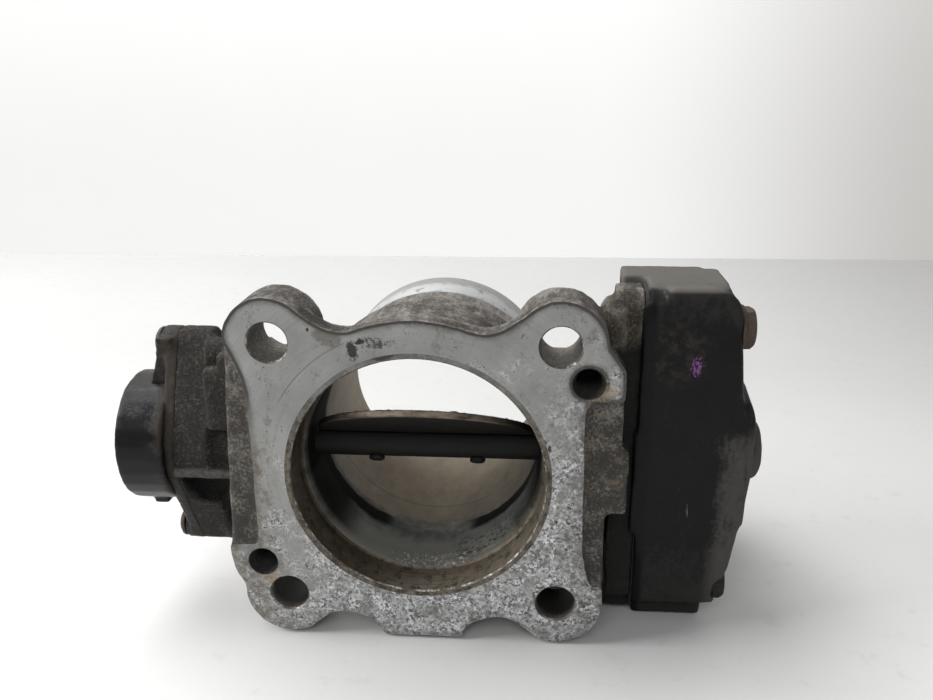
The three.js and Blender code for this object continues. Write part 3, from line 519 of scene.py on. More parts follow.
def cast_material():
    """Cast aluminium under years of oily road dirt, bare where it has been rubbed, with painted shade
    in its recesses.
    """
    s = Shade("cast_aluminium_dirty")
    wear = s.attribute("wear")
    grain = s.noise(0.8, 5, 0.72)
    blotch = s.noise(7, 4, 0.6, shift=11)
    streak = s.noise(2.2, 5, 0.7, stretch=(1, 0.25, 1), shift=5)
    dark = s.mix(blotch, (0.011, 0.009, 0.007), (0.04, 0.031, 0.024))
    grey = s.mix(s.step(streak, 0.3, 0.7), (0.06, 0.05, 0.042), (0.3, 0.28, 0.25))
    sensor_end = s.step(s.x, -40, -48)
    gear_end = s.step(s.x, 40, 47)
    level = s.add(s.times(s.less(blotch, 0.5), 1.6), s.times(s.less(grain, 0.5), 2))
    level = s.add(level, s.times(wear, 2.4))
    level = s.less(level, s.add(s.times(sensor_end, 1), s.times(gear_end, 0.4)))
    behind = s.step(s.y, 30, 52)
    bare = s.step(s.add(level, s.times(behind, 0.35)), -0.35, 0.6)
    s.colour = s.mix(bare, dark, grey)

    # the sensor's side lies in shade: painted shade and oil make it black, with a painted dark pocket,
    # crumbs and a paler shelf
    shade = s.times(sensor_end, s.step(s.y, 24, 16))
    # painted shade: the sensor's side darkened to near black
    s.paint(s.mix(grain, (0.001, 0.001, 0.001), (0.009, 0.007, 0.005)), shade, 0.9)
    pocket = s.times(s.within(y=(4.9, 6), z=(-13.6, -12.4, -5.6, -4.9)), shade)
    crust_place = s.distance(s.y, s.z, 14.2, 31)
    crust_grain = s.step(s.noise(0.9, 6, 0.8, shift=3), 0.46, 0.6)
    crust = s.times(s.step(crust_place, 11, 5), s.within(x=(38, 43, 47, 50.5)))
    crust = s.times(crust, crust_grain)
    s.paint((0.27, 0.22, 0.135), crust, 0.85)
    grit = s.times(s.step(s.noise(0.6, 6, 0.8, shift=31), 0.55, 0.64), s.step(blotch, 0.32, 0.5))
    s.paint((0.24, 0.2, 0.15), grit, 0.6)
    crumbs = s.times(shade, s.step(s.noise(1.4, 8, 0.85, shift=44), 0.5, 0.6))
    s.paint((0.15, 0.118, 0.085), crumbs, 0.65)
    s.raise_by(crumbs, 0.35)
    shelf = s.times(shade, s.within(z=(-5.4, -4.9, -2.2, -1.6)))
    s.paint(s.mix(grain, (0.03, 0.028, 0.024), (0.14, 0.13, 0.11)), shelf, s.step(s.y, 6, 4.5))

    # painted shade and oil: deep black between the flange and the gear case, and in the pocket
    recess = s.within(x=(43, 45), z=(31, 27))
    recess = s.most(recess, s.within(x=(41, 44), z=(-24, -29)))
    recess = s.times(recess, s.step(s.y, 34, 26))
    recess = s.most(s.times(recess, 0.93), s.times(pocket, 0.9))
    # paints the shade of the recess and the pocket near black
    s.paint((0.003, 0.0025, 0.002), recess)
    s.raise_by(grain, 0.6)
    s.raise_by(s.noise(2.6, 4, 0.7, shift=27), 0.5)
    s.raise_by(s.noise(0.3, 3, 0.6, shift=21), 0.08)
    s.raise_by(crust, 0.4)
    rough = s.blend(bare, 0.85, 0.6)
    return s.done(rough, s.times(bare, 0.45))


def strip_material():
    """The two cast strips beside the machined face: black-brown skin with grey flecks."""
    s = Shade("cast_strip")
    grain = s.noise(0.7, 6, 0.78)
    blotch = s.noise(5, 4, 0.6, shift=4)
    fleck = s.step(s.add(grain, s.times(s.less(blotch, 0.5), 0.6)), 0.47, 0.68)
    s.colour = s.mix(blotch, (0.02, 0.017, 0.014), (0.06, 0.052, 0.042))
    s.paint((0.2, 0.19, 0.17), fleck)
    tan = s.times(s.step(s.noise(2.5, 4, 0.7, shift=9), 0.5, 0.64), s.step(s.z, -6, 0))
    s.paint((0.17, 0.14, 0.1), tan, 0.5)
    s.raise_by(grain, 0.5)
    return s.done(s.blend(fleck, 0.8, 0.6), s.times(fleck, 0.35))


def face_material():
    """The milled flange face: satin and lined at the upper left, eaten by salt below and right."""
    s = Shade("machined_face")
    rim = s.attribute("rim")
    radius = s.distance(s.x, s.z, 0, 0)
    turning = s.noise(0.3, 3, 0.7, vector=s.vector(radius, s.times(s.x, 0.02), s.times(s.z, 0.02)))
    tool_marks = s.noise(1, 3, 0.6, vector=s.vector(s.times(radius, 0.8), s.times(s.z, 0.05), 0))
    cloud = s.drift(11, 5, 0.6, shift=2)
    patch = s.drift(3.6, 5, 0.66, shift=8)
    slope = s.add(s.times(s.x, 0.012), s.times(s.z, -0.021))
    ill = s.add(slope, s.times(cloud, 2.2), s.times(patch, 1.5))
    eaten = s.step(ill, -0.35, 0.7)
    clean = s.mix(s.add(s.times(cloud, 1.6), 0.5), (0.2, 0.205, 0.2), (0.37, 0.372, 0.355))
    clean = s.mix(s.times(s.step(turning, 0.5, 0.75), 0.14), clean, (0.5, 0.5, 0.48))
    clean = s.mix(s.times(s.step(tool_marks, 0.5, 0.7), 0.2), clean, (0.15, 0.15, 0.145))
    mottle = s.noise(0.75, 7, 0.8, shift=6)
    salt = s.mix(s.step(mottle, 0.42, 0.58), (0.055, 0.052, 0.05), (0.82, 0.825, 0.83))
    wash = s.step(s.noise(3.6, 6, 0.7, shift=15), 0.42, 0.56)
    salt = s.mix(s.times(wash, 0.72), salt,
                 s.mix(s.step(patch, -0.1, 0.1), (0.16, 0.15, 0.14), (0.52, 0.52, 0.51)))
    s.colour = s.mix(s.times(eaten, 0.95), clean, salt)
    pit_level = s.add(s.noise(0.55, 6, 0.8, shift=41), s.times(patch, 0.35))
    pits = s.step(s.add(pit_level, s.times(eaten, 0.035)), 0.62, 0.68)
    s.paint((0.03, 0.027, 0.024), pits, 0.9)

    # dirt that follows the outline, and brown and grey grime at the two sides
    edge_wander = s.times(s.drift(3.5, 5, 0.6, shift=13), 2)
    upper = s.step(s.z, 5, 22)
    edge_line = s.step(rim, 1.2, 0.5)
    edge_dirt = s.most(s.times(s.step(s.add(rim, edge_wander), 1.9, 0.2), 0.7),
                       s.times(edge_line, upper))
    s.paint((0.05, 0.044, 0.038), edge_dirt, s.blend(upper, 0.4, 0.85))
    brown = s.within(x=(-30, -37), z=(12, 4))
    brown = s.times(brown, s.step(s.noise(2.4, 5, 0.72, shift=17), 0.42, 0.62))
    s.paint((0.13, 0.1, 0.065), brown, 0.7)
    grime = s.within(x=(30, 38), z=(28, 14))
    grime = s.times(grime, s.step(s.noise(2.2, 6, 0.75, shift=19), 0.4, 0.6))
    s.paint((0.075, 0.07, 0.062), grime, 0.6)
    for place, size in (((40.8, 21.8), 3.4), ((-36.8, -27.4), 2.2)):
        tan = s.times(s.mark(place, (size, size * 0.8), 0, 1.6, 2), s.step(mottle, 0.4, 0.55))
        s.paint((0.36, 0.28, 0.17), tan, 0.7)

    # smudges, smears and marks
    smudge = s.step(s.noise(5, 6, 0.75, stretch=(1, 1, 0.6), shift=51), 0.56, 0.68)
    s.paint((0.085, 0.078, 0.066), smudge, 0.45)
    smear = s.mark((-18.6, 33.6), (3.6, 2), -20, 0.9, 2.5)
    s.paint((0.1, 0.09, 0.07), smear, 0.5)
    # dark marks by place, half size and tilt
    marks = (((-13.1, 30.4), (1.1, 2), 8), ((-11.2, 32.5), (1.2, 0.5), 20),
             ((-22.6, 35), (0.3, 0.5), 0), ((28.4, 9.7), (0.7, 0.7), 0), ((29.8, 8.2), (0.45, 0.7), 0))
    feather = s.times(s.mark((-8.2, 32.3), (3.6, 1.1), -4, 1.6, 1.2), s.step(mottle, 0.46, 0.54))
    s.paint((0.03, 0.028, 0.025), feather, 0.85)
    for place, half, tilt in marks:
        s.paint((0.022, 0.02, 0.018), s.mark(place, half, tilt), 0.92)
    scratch = s.times(s.step(s.absolute(s.less(radius, 35.4)), 0.13, 0.04), s.step(s.z, 16, 20))
    scratch = s.times(scratch, s.step(s.x, -13, -17), s.step(mottle, 0.38, 0.46))
    s.paint((0.09, 0.085, 0.08), scratch, 0.8)
    s.raise_by(s.times(mottle, eaten), 0.16)
    s.raise_by(turning, 0.01)
    s.raise_by(pits, -0.12)
    s.raise_by(scratch, -0.05)
    rough = s.blend(eaten, 0.42, 0.62)
    metal = s.blend(eaten, 0.6, 0.25)
    return s.done(s.most(rough, s.times(edge_dirt, 0.8)), metal)


def ring_material():
    """The ring inside the gasket, browned by oil, with turning lines."""
    s = Shade("stained_ring")
    radius = s.distance(s.x, s.z, 0, MOUTH_Z)
    lines = s.noise(0.16, 3, 0.6, vector=s.vector(radius, s.times(s.x, 0.03), s.times(s.z, 0.03)))
    cloud = s.noise(3.5, 5, 0.68, shift=4)
    top = s.step(s.z, 5, 26)
    cloud = s.step(s.add(cloud, s.times(s.drift(0.9, 6, 0.8, shift=22), 0.9)), 0.3, 0.7)
    brown = s.mix(cloud, (0.03, 0.024, 0.017), (0.17, 0.145, 0.11))
    grey = s.mix(cloud, (0.11, 0.105, 0.095), (0.21, 0.205, 0.19))
    s.colour = s.mix(top, brown, grey)
    s.paint((0.3, 0.28, 0.24), s.step(lines, 0.5, 0.7), 0.3)
    blot = s.mark((-6.5, 29.3), (3.2, 0.9), 10, 1.4, 0.8)
    s.paint((0.04, 0.025, 0.018), blot, 0.85)
    s.raise_by(lines, 0.03)
    return s.done(0.5, 0.4)


def bore_material():
    """Inside of the bore and its mouth: varnish, soot lines by the plate and dried salt, with painted
    shade and light.
    """
    s = Shade("bore_wall")
    around = s.math("ARCTAN2", s.z, s.x)
    lines = s.noise(0.45, 3, 0.65, vector=s.vector(s.y, s.times(around, 1.2), 0))
    cloud = s.noise(6, 5, 0.65, stretch=(1, 0.5, 1))
    fine = s.noise(0.8, 6, 0.75, shift=5)
    # pale is painted light: the back of the bore paler towards the upper left
    pale = s.step(s.add(s.z, s.times(s.x, -0.5)), -22, 12)
    behind = s.mix(cloud, (0.12, 0.1, 0.075), (0.32, 0.275, 0.21))
    behind = s.mix(s.times(pale, 0.8), behind, s.mix(cloud, (0.36, 0.325, 0.275), (0.66, 0.61, 0.53)))
    behind = s.mix(s.times(s.step(fine, 0.56, 0.7), 0.55), behind, (0.04, 0.036, 0.03))
    middle = s.mix(s.step(cloud, 0.3, 0.7), (0.03, 0.03, 0.026), (0.13, 0.13, 0.115))
    to_left = s.step(s.x, 2, -22)
    mouth = s.mix(cloud, s.mix(to_left, (0.1, 0.082, 0.06), (0.03, 0.025, 0.017)),
                  s.mix(to_left, (0.3, 0.25, 0.19), (0.11, 0.085, 0.055)))
    mouth = s.mix(s.times(s.step(lines, 0.45, 0.65), 0.5), mouth, (0.03, 0.025, 0.018))
    crackle = s.step(s.noise(2.2, 6, 0.75, stretch=(1, 0.6, 1), shift=14), 0.5, 0.62)
    mouth = s.mix(s.times(crackle, 0.75), mouth, (0.022, 0.018, 0.012))
    wander = s.times(s.drift(5, 5, 0.65, shift=9), 6)
    depth = s.add(s.y, wander)
    rear = s.step(depth, 25, 29)
    s.colour = s.mix(rear, middle, behind)
    low_front = s.times(s.step(depth, 22, 14), s.step(s.z, -14, -24))
    s.paint((0.25, 0.245, 0.22), low_front, 0.8)
    s.paint(mouth, s.step(s.y, MOUTH_DEPTH + 0.1, MOUTH_DEPTH - 0.3))

    # dried salt in the bottom of the bore, and green-black stains beside it
    salt_place = s.within(y=(9, 9.6, 10, 15))
    salt_place = s.times(salt_place, s.step(s.absolute(s.less(s.x, 2.5)), 13, 6))
    salt_place = s.times(salt_place, s.step(s.z, -20, -26))
    salt_grain = s.noise(0.7, 6, 0.8, stretch=(1, 0.7, 1), shift=37)
    salt = s.times(s.step(salt_place, 0, 0.2),
                   s.step(s.add(salt_grain, s.times(salt_place, 0.08)), 0.58, 0.64))
    salt_colour = s.mix(s.step(fine, 0.42, 0.55), (0.3, 0.29, 0.28), (0.75, 0.74, 0.73))
    s.paint(salt_colour, salt)
    stain_place = s.within(x=(5, 9), y=(9, 11, 15, 20))
    stains = s.times(stain_place, s.step(s.noise(1.1, 5, 0.75, shift=23), 0.52, 0.58))
    s.paint((0.03, 0.032, 0.018), stains, 0.85)

    # soot along the plate's edge, soot and painted shade at the two ends of the shaft, and painted
    # shade over the upper wall about the shaft
    soot_line = s.less(s.add(s.y, s.times(wander, 0.4)), 24)
    soot = s.times(s.step(soot_line, -4.5, -1.8), s.step(soot_line, 2.6, 1.6))
    soot = s.times(soot, s.step(s.less(s.absolute(s.x), s.times(wander, 0.6)), 6, 13))
    side = s.times(s.step(s.add(s.absolute(s.x), s.times(s.x, -0.12)), 17, 25), s.step(s.y, 29, 24))
    side = s.times(side, s.step(s.y, 9.3, 12))
    # painted shade over the upper wall, from behind the mouth to past the shaft
    shaded = s.within(y=(30, 25), z=(-12, -4))
    soot = s.most(soot, s.times(side, 0.93), s.times(shaded, s.step(s.y, 9.3, 12)))
    # soot and painted shade, painted near black
    s.paint((0.003, 0.003, 0.0025), soot)
    ring = s.step(s.absolute(s.less(s.y, 36)), 0.45, 0.15)
    s.paint((0.05, 0.045, 0.036), ring, 0.5)
    s.raise_by(lines, 0.035)
    s.raise_by(fine, 0.05)
    s.raise_by(salt, 0.1)
    rough = s.blend(s.step(s.noise(3, 5, 0.65, shift=12), 0.4, 0.6), 0.38, 0.55)
    rough = s.add(rough, s.times(rear, 0.4))
    metal = s.times(s.flip(s.most(soot, rear)), 0.25)
    return s.done(s.most(rough, s.times(soot, 0.9)), metal, 0.15)


def bright_edge_material():
    """Broken edges of the holes and the mouth, brown with patches rubbed bright."""
    s = Shade("worn_chamfer")
    patchy = s.step(s.noise(4, 4, 0.65, shift=2), 0.42, 0.6)
    patchy = s.times(patchy, s.step(s.noise(0.8, 5, 0.75, shift=12), 0.4, 0.6))
    s.colour = s.mix(patchy, (0.1, 0.085, 0.065), (0.5, 0.48, 0.45))
    s.raise_by(s.noise(0.5, 4, 0.65), 0.04)
    return s.done(s.blend(patchy, 0.6, 0.4), 0.6)


def hole_material():
    """Walls of the bolt holes and the threaded holes, grey at the mouth, with painted shade black
    inside.
    """
    s = Shade("hole_wall")
    grain = s.noise(0.7, 5, 0.7)
    grit = s.step(s.noise(0.9, 6, 0.78, shift=8), 0.46, 0.6)
    s.colour = s.mix(grain, (0.04, 0.034, 0.027), (0.2, 0.185, 0.16))
    s.paint((0.3, 0.28, 0.25), grit, 0.6)
    from_dowels = [s.distance(s.x, s.z, *place) for place in DOWELS]
    small_hole = s.most(*[s.step(away, 5, 4.5) for away in from_dowels])
    lower = s.step(s.z, -20, -26)
    dark = s.most(small_hole, s.times(lower, s.step(s.y, 0.4, 3)))
    # painted shade: black inside the threaded holes and deep in the lower bolt holes
    s.paint((0.004, 0.004, 0.004), dark, 0.93)
    s.raise_by(grain, 0.2)
    return s.done(0.62, s.times(s.flip(dark), 0.5))


def spigot_material():
    """The turned hose seat: pale grey where the hose was, stained beside it."""
    s = Shade("turned_spigot")
    around = s.math("ARCTAN2", s.z, s.x)
    turning = s.noise(0.28, 3, 0.6, vector=s.vector(s.y, s.times(around, 0.8), 0))
    cloud = s.noise(6, 4, 0.62, shift=3)
    s.colour = s.mix(cloud, (0.17, 0.165, 0.155), (0.33, 0.33, 0.32))
    seat = s.add(s.y, s.times(s.drift(4, 4, 0.65, shift=7), 7))
    hose = s.times(s.step(seat, 50.5, 53), s.step(seat, 62, 58))
    s.paint((0.47, 0.485, 0.485), hose, 0.8)
    stain = s.step(s.noise(3.2, 5, 0.7, stretch=(1, 0.6, 1), shift=14), 0.55, 0.68)
    s.paint((0.15, 0.135, 0.12), stain, 0.75)
    s.raise_by(turning, 0.03)
    s.raise_by(s.noise(0.8, 4, 0.65, shift=5), 0.03)
    return s.done(s.blend(cloud, 0.42, 0.6), 0.6)


def cover_material():
    """Black glass-filled plastic, greyed by a dusting and painted sheen, with rubbed corners and a dab
    of marker paint.
    """
    s = Shade("cover_plastic")
    wear = s.attribute("wear")
    cloud = s.noise(9, 4, 0.6, shift=3)
    fine = s.noise(1.1, 5, 0.7, shift=1)
    streak = s.noise(1.2, 4, 0.6, stretch=(1, 1, 0.3), shift=6)
    s.colour = s.mix(cloud, (0.002, 0.002, 0.0022), (0.006, 0.006, 0.0065))
    dust_and_sheen = s.add(s.times(s.less(cloud, 0.5), 1.4), s.times(s.less(streak, 0.5), 1.2))
    outer_edge = s.within(x=(66, 71), z=(13, 4))
    bottom = s.step(s.z, -29, -33)
    # top: dust and a painted highlight along the cover's top edge
    top = s.most(s.step(s.z, 41.2, 42), s.within(y=(12, 14), z=(38, 41)))
    dust_and_sheen = s.add(dust_and_sheen, s.times(outer_edge, 0.8), s.times(bottom, 0.3), s.times(top, 0.6))
    # sheen: a painted reflection, paler towards the bottom and the top
    sheen = s.most(s.step(s.z, -10, -28), s.step(s.z, 30, 38))
    dust_and_sheen = s.add(dust_and_sheen, s.times(wear, 2.4), s.times(sheen, 0.5))
    dust_and_sheen_share = s.step(s.add(dust_and_sheen, s.times(s.less(fine, 0.5), 1.5)), 0.15, 1)
    # a paler colour for the painted highlight at the top, and at the outer edge
    bright = s.most(top, s.times(outer_edge, 0.6))
    s.paint(s.mix(bright, (0.026, 0.025, 0.023), (0.12, 0.112, 0.1)), dust_and_sheen_share, 0.75)
    brown = s.times(s.step(s.distance(s.x, s.z, 57, 28), 11, 3),
                    s.step(s.noise(2, 4, 0.65, shift=8), 0.45, 0.65))
    s.paint((0.045, 0.037, 0.026), brown, 0.5)
    scuff = s.noise(0.7, 6, 0.8, stretch=(1.6, 1, 0.6), shift=33)
    specks = s.times(s.step(s.add(scuff, s.times(outer_edge, 0.04)), 0.62, 0.69),
                     s.step(cloud, 0.38, 0.55))
    s.paint((0.17, 0.16, 0.148), specks, 0.6)
    front = s.step(s.y, 10.5, 9.6)
    scratch_line = s.absolute(s.less(s.x, s.add(61.6, s.times(s.z, -0.06))))
    scratch = s.times(s.step(scratch_line, 0.16, 0.04), s.within(z=(-13.4, -12, -10.5, -9)))
    s.paint((0.2, 0.195, 0.185), scratch, front, s.step(scuff, 0.4, 0.55))
    dab = s.mark((61.9, 24.8), (1.1, 1.7), 0, 2.4, 0.7)
    dab = s.times(dab, front, s.step(scuff, 0.44, 0.56))
    s.paint((0.26, 0.1, 0.3), dab, 0.9)
    s.raise_by(s.noise(0.45, 3, 0.6, shift=2), 0.06)
    s.raise_by(cloud, 0.2)
    s.raise_by(specks, 0.05)
    # painted shade: black at the inner edge beside the casting, except at the top
    inner = s.step(s.x, 53.5, 52)
    s.paint((0.002, 0.002, 0.002), inner, s.flip(top))
    return s.done(s.blend(dust_and_sheen_share, 0.36, 0.7), 0, 0.18)


def sensor_material():
    """Smooth black plastic of the position sensor, glossy under a film of dirt."""
    s = Shade("sensor_plastic")
    wear = s.attribute("wear")
    cloud = s.noise(6, 4, 0.6, shift=3)
    grit = s.noise(0.9, 5, 0.75, shift=4)
    dirt = s.add(s.times(s.less(cloud, 0.5), 1.6), s.times(s.less(grit, 0.5), 1.3))
    high = s.step(s.z, -2, 14)
    near_casting = s.step(s.add(s.x, s.times(s.less(cloud, 0.5), 6)), -65, -60.5)
    dirt = s.add(dirt, s.times(high, 0.5), s.times(near_casting, 0.9))
    dirt = s.less(dirt, s.times(wear, 0.5))
    dirty = s.step(dirt, 0.2, 1.3)
    s.colour = s.mix(cloud, (0.002, 0.002, 0.0025), (0.007, 0.007, 0.008))
    s.paint(s.mix(grit, (0.012, 0.01, 0.008), (0.07, 0.058, 0.044)), dirty, 0.85)
    specks = s.times(s.step(s.noise(0.7, 6, 0.8, shift=33), 0.63, 0.69), s.step(cloud, 0.42, 0.58))
    s.paint((0.2, 0.185, 0.16), specks, 0.5)
    s.raise_by(s.times(grit, dirty), 0.14)
    s.raise_by(cloud, 0.05)
    return s.done(s.blend(dirty, 0.36, 0.75), 0, 0.22)


def soot_material():
    """Plate and shaft: black with oil soot, the shaft paler grey-brown outside the bore."""
    s = Shade("sooted_metal")
    cloud = s.noise(5, 4, 0.6, stretch=(0.3, 1, 1), shift=3)
    fine = s.noise(0.8, 4, 0.7, shift=7)
    s.colour = s.mix(cloud, (0.004, 0.004, 0.004), (0.012, 0.011, 0.01))
    outside = s.most(s.step(s.x, 29, 31), s.step(s.x, -29, -31))
    s.paint((0.2, 0.19, 0.17), outside)
    s.raise_by(fine, 0.06)
    return s.done(s.blend(cloud, 0.5, 0.75), 0, 0.25)


def plate_rim_material():
    """The turned rim of the throttle plate, brown with baked oil."""
    s = Shade("plate_rim")
    cloud = s.noise(2.4, 5, 0.65, stretch=(0.5, 1, 1), shift=3)
    middle = s.step(s.absolute(s.x), 24, 12)
    s.colour = s.mix(s.step(cloud, 0.3, 0.7), (0.045, 0.034, 0.025), (0.21, 0.17, 0.125))
    s.paint((0.022, 0.018, 0.014), s.flip(middle))
    s.raise_by(s.noise(0.6, 5, 0.75), 0.15)
    return s.done(0.5, 0.55)


def rust_material():
    """Zinc-plated steel gone brown."""
    s = Shade("rusty_steel")
    cloud = s.noise(1.6, 5, 0.7, shift=3)
    fine = s.noise(0.5, 4, 0.7, shift=6)
    rust = s.step(cloud, 0.35, 0.62)
    s.colour = s.mix(rust, (0.055, 0.048, 0.04), (0.075, 0.047, 0.03))
    s.paint((0.15, 0.11, 0.075), s.step(fine, 0.56, 0.7), 0.7)
    oily = s.within(x=(50, 60), z=(-12, -24))
    s.paint((0.008, 0.007, 0.006), oily, 0.85)
    s.raise_by(cloud, 0.12)
    s.raise_by(fine, 0.06)
    return s.done(s.blend(rust, 0.5, 0.78), s.blend(rust, 0.6, 0.2))


def plain_material(name, dark, pale, size, roughness, metallic, relief):
    """A clean part's surface: cloudy colour, fine streaks and a little relief."""
    s = Shade(name)
    cloud = s.noise(size, 4, 0.6, shift=2)
    fine = s.noise(size / 8, 4, 0.65, stretch=(0.4, 1, 1), shift=5)
    s.colour = s.mix(cloud, dark, pale)
    s.paint(tuple((c * 0.35 for c in dark)), s.step(fine, 0.58, 0.75), 0.3)
    s.raise_by(fine, relief)
    return s.done(s.blend(cloud, roughness * 0.8, min(1, roughness * 1.25)), metallic)


cast = cast_material()
strip = strip_material()
face = face_material()
bore_wall = bore_material()
ring = ring_material()
bright_edge = bright_edge_material()
hole_wall = hole_material()
turned = spigot_material()
cover_plastic = cover_material()
sensor_plastic = sensor_material()
soot = soot_material()
plate_rim = plate_rim_material()
rust = rust_material()
steel = plain_material("clean_steel", (0.2, 0.195, 0.185), (0.42, 0.41, 0.39), 3, 0.35, 0.9, 0.02)
metal_look = (2, 0.35, 0.9, 0.02)    # size, roughness, metallic and relief
spring_steel = plain_material("spring_steel", (0.08, 0.075, 0.07), (0.16, 0.15, 0.14), *metal_look)
brass = plain_material("brass", (0.35, 0.25, 0.1), (0.55, 0.4, 0.18), *metal_look)
copper = plain_material("tinned_copper", (0.45, 0.25, 0.13), (0.6, 0.36, 0.2), *metal_look)
pale_plastic = plain_material("gear_nylon", (0.55, 0.5, 0.38), (0.68, 0.62, 0.48), 4, 0.5, 0, 0.02)
rubber = plain_material("rubber", (0.012, 0.012, 0.012), (0.03, 0.028, 0.026), 2, 0.8, 0, 0.05)
magnet = plain_material("ferrite", (0.03, 0.03, 0.032), (0.06, 0.06, 0.063), 3, 0.6, 0.2, 0.05)
winding = plain_material("armature_steel", (0.16, 0.09, 0.05), (0.3, 0.17, 0.09), 2, 0.45, 0.8, 0.05)


# ------------------------------------------------------------------ housing


def housing_stock():
    """The casting before machining: its bores filled, and stock in front of the flange face."""
    body = copy_of("housing")
    co = points_of(body.data)
    co[co[:, 1] < 0.01, 1] = -FACE_STOCK
    co[np.abs(co[:, 0] - TRAY_RIM) < 0.02, 0] = TRAY_RIM + 0.3
    move_points(body, co)
    below_shelf = [(-58.6, -5.4), (-44.4, -5.4), (-44.4, -12.6), (-55, -13.4), (-57.4, -10.5)]
    hollow = placed_prism(below_shelf, 2, 13)
    fin = block((42, 22, 34.5), (45.6, 41, 45))
    body = carve(body, [hollow, fin])
    plugs = [rod(STAIN_R + 0.7, -FACE_STOCK, MOUTH_DEPTH + 3, "Y"),
             rod(BORE_R + 0.5, MOUTH_DEPTH, SPIGOT_END + 1, "Y"),
             rod(SPIGOT_R + 0.35, 47, SPIGOT_END + 1, "Y")]
    for x, z in CORNERS:
        plugs.append(rod_y(BOLT_HOLE_R + 1, -FACE_STOCK, EAR_DEPTH - 0.2, x, z))
    for x, z in DOWELS:
        plugs.append(rod_y(DOWEL_R + 0.3, -FACE_STOCK, 14, x, z))
    stock = fuse("casting", [body, *plugs], CAST_VOXEL)
    relax(stock, 5)
    roughen(stock, [(9, 0.05), (2.6, 0.035)], seed=4)
    return stock


def turned_outside():
    """The tool that turns the hose seat, with a shallow groove and a chamfered end."""
    r = SPIGOT_R
    outer = r + 1.2              # clear of the motor's casing
    bottom = r - 0.12
    groove = [(r, 51.6), (bottom, 51.9), (bottom, 52.5), (r, 52.8)]
    chamfer = [(r, 66.6), (r - 0.25, 67.4), (r - 0.9, SPIGOT_END), (r - 3.2, SPIGOT_END)]
    past_end = SPIGOT_END + 4
    profile = [(outer, BAND_START), (r, BAND_START), *groove, *chamfer, (r - 3.2, past_end),
               (outer, past_end)]
    return lathe("turning", profile, "Y", steps=192)


def bored_inside():
    """The tools that bore the mouth and the throttle bore, with their small steps."""
    r = MOUTH_R
    floor = MOUTH_DEPTH
    mouth = [(0, -4), (STAIN_R, -4), (STAIN_R, 0.05), (r + 0.3, 0.05), (r, 0.4), (r, floor - 0.7),
             (r - 0.4, floor - 0.2), (r - 0.7, floor), (0, floor)]
    r = BORE_R
    end = SPIGOT_END
    bore = [(0, 4), (r + 1, 4), (r + 1, floor - 0.2), (r + 0.75, floor + 0.2), (r, floor + 5),
            (r, 35.8), (r + 0.12, 36.2), (r + 0.12, end - 1.2), (r + 1, end - 0.2), (r + 1, end + 4),
            (0, end + 4)]
    return [lathe("mouth", mouth, "Y", (0, 0, MOUTH_Z), 192), lathe("bore", bore, "Y", steps=192)]


def drill(radius, depth, chamfer, x, z):
    """A drill with a cone point and a chamfer at the flange face."""
    profile = [(0, -4), (radius + chamfer, -4), (radius + chamfer, 0), (radius, chamfer * 1.1),
               (radius, depth), (0, depth + radius * 0.6)]
    return lathe("drill", profile, "Y", (x, 0, z), steps=72)


def threaded_drill(radius, depth, x, z):
    """A hole with ring-shaped thread crests."""
    pitch = 1.25
    profile = [(0, -4), (radius + 0.35, -4), (radius + 0.35, 0), (radius, 0.5)]
    along = 1.0
    while along < depth - pitch:
        profile += [(radius, along), (radius - 0.4, along + pitch / 2)]
        along += pitch
    profile += [(radius, depth), (0, depth + 1.5)]
    return lathe("tap", profile, "Y", (x, 0, z), steps=48)


def inner_seats():
    """Crisp seats for the bearings, the shaft and the motor."""
    seat_start = local_box("housing")[0].x - 1
    motor_y, motor_z = MOTOR
    shaft_room = rod_x(SHAFT_ROOM_R, seat_start, CASE_END, SHAFT_Y, 0)
    sensor_side = rod_x(BEARING_SEAT_R, seat_start, -44.2, SHAFT_Y, 0)
    gear_side = rod_x(BEARING_SEAT_R, 33, CASE_END, SHAFT_Y, 0)
    motor_room = rod_x(MOTOR_ROOM_R, 27.8, CASE_END, motor_y, motor_z)
    return [shaft_room, sensor_side, gear_side, motor_room]


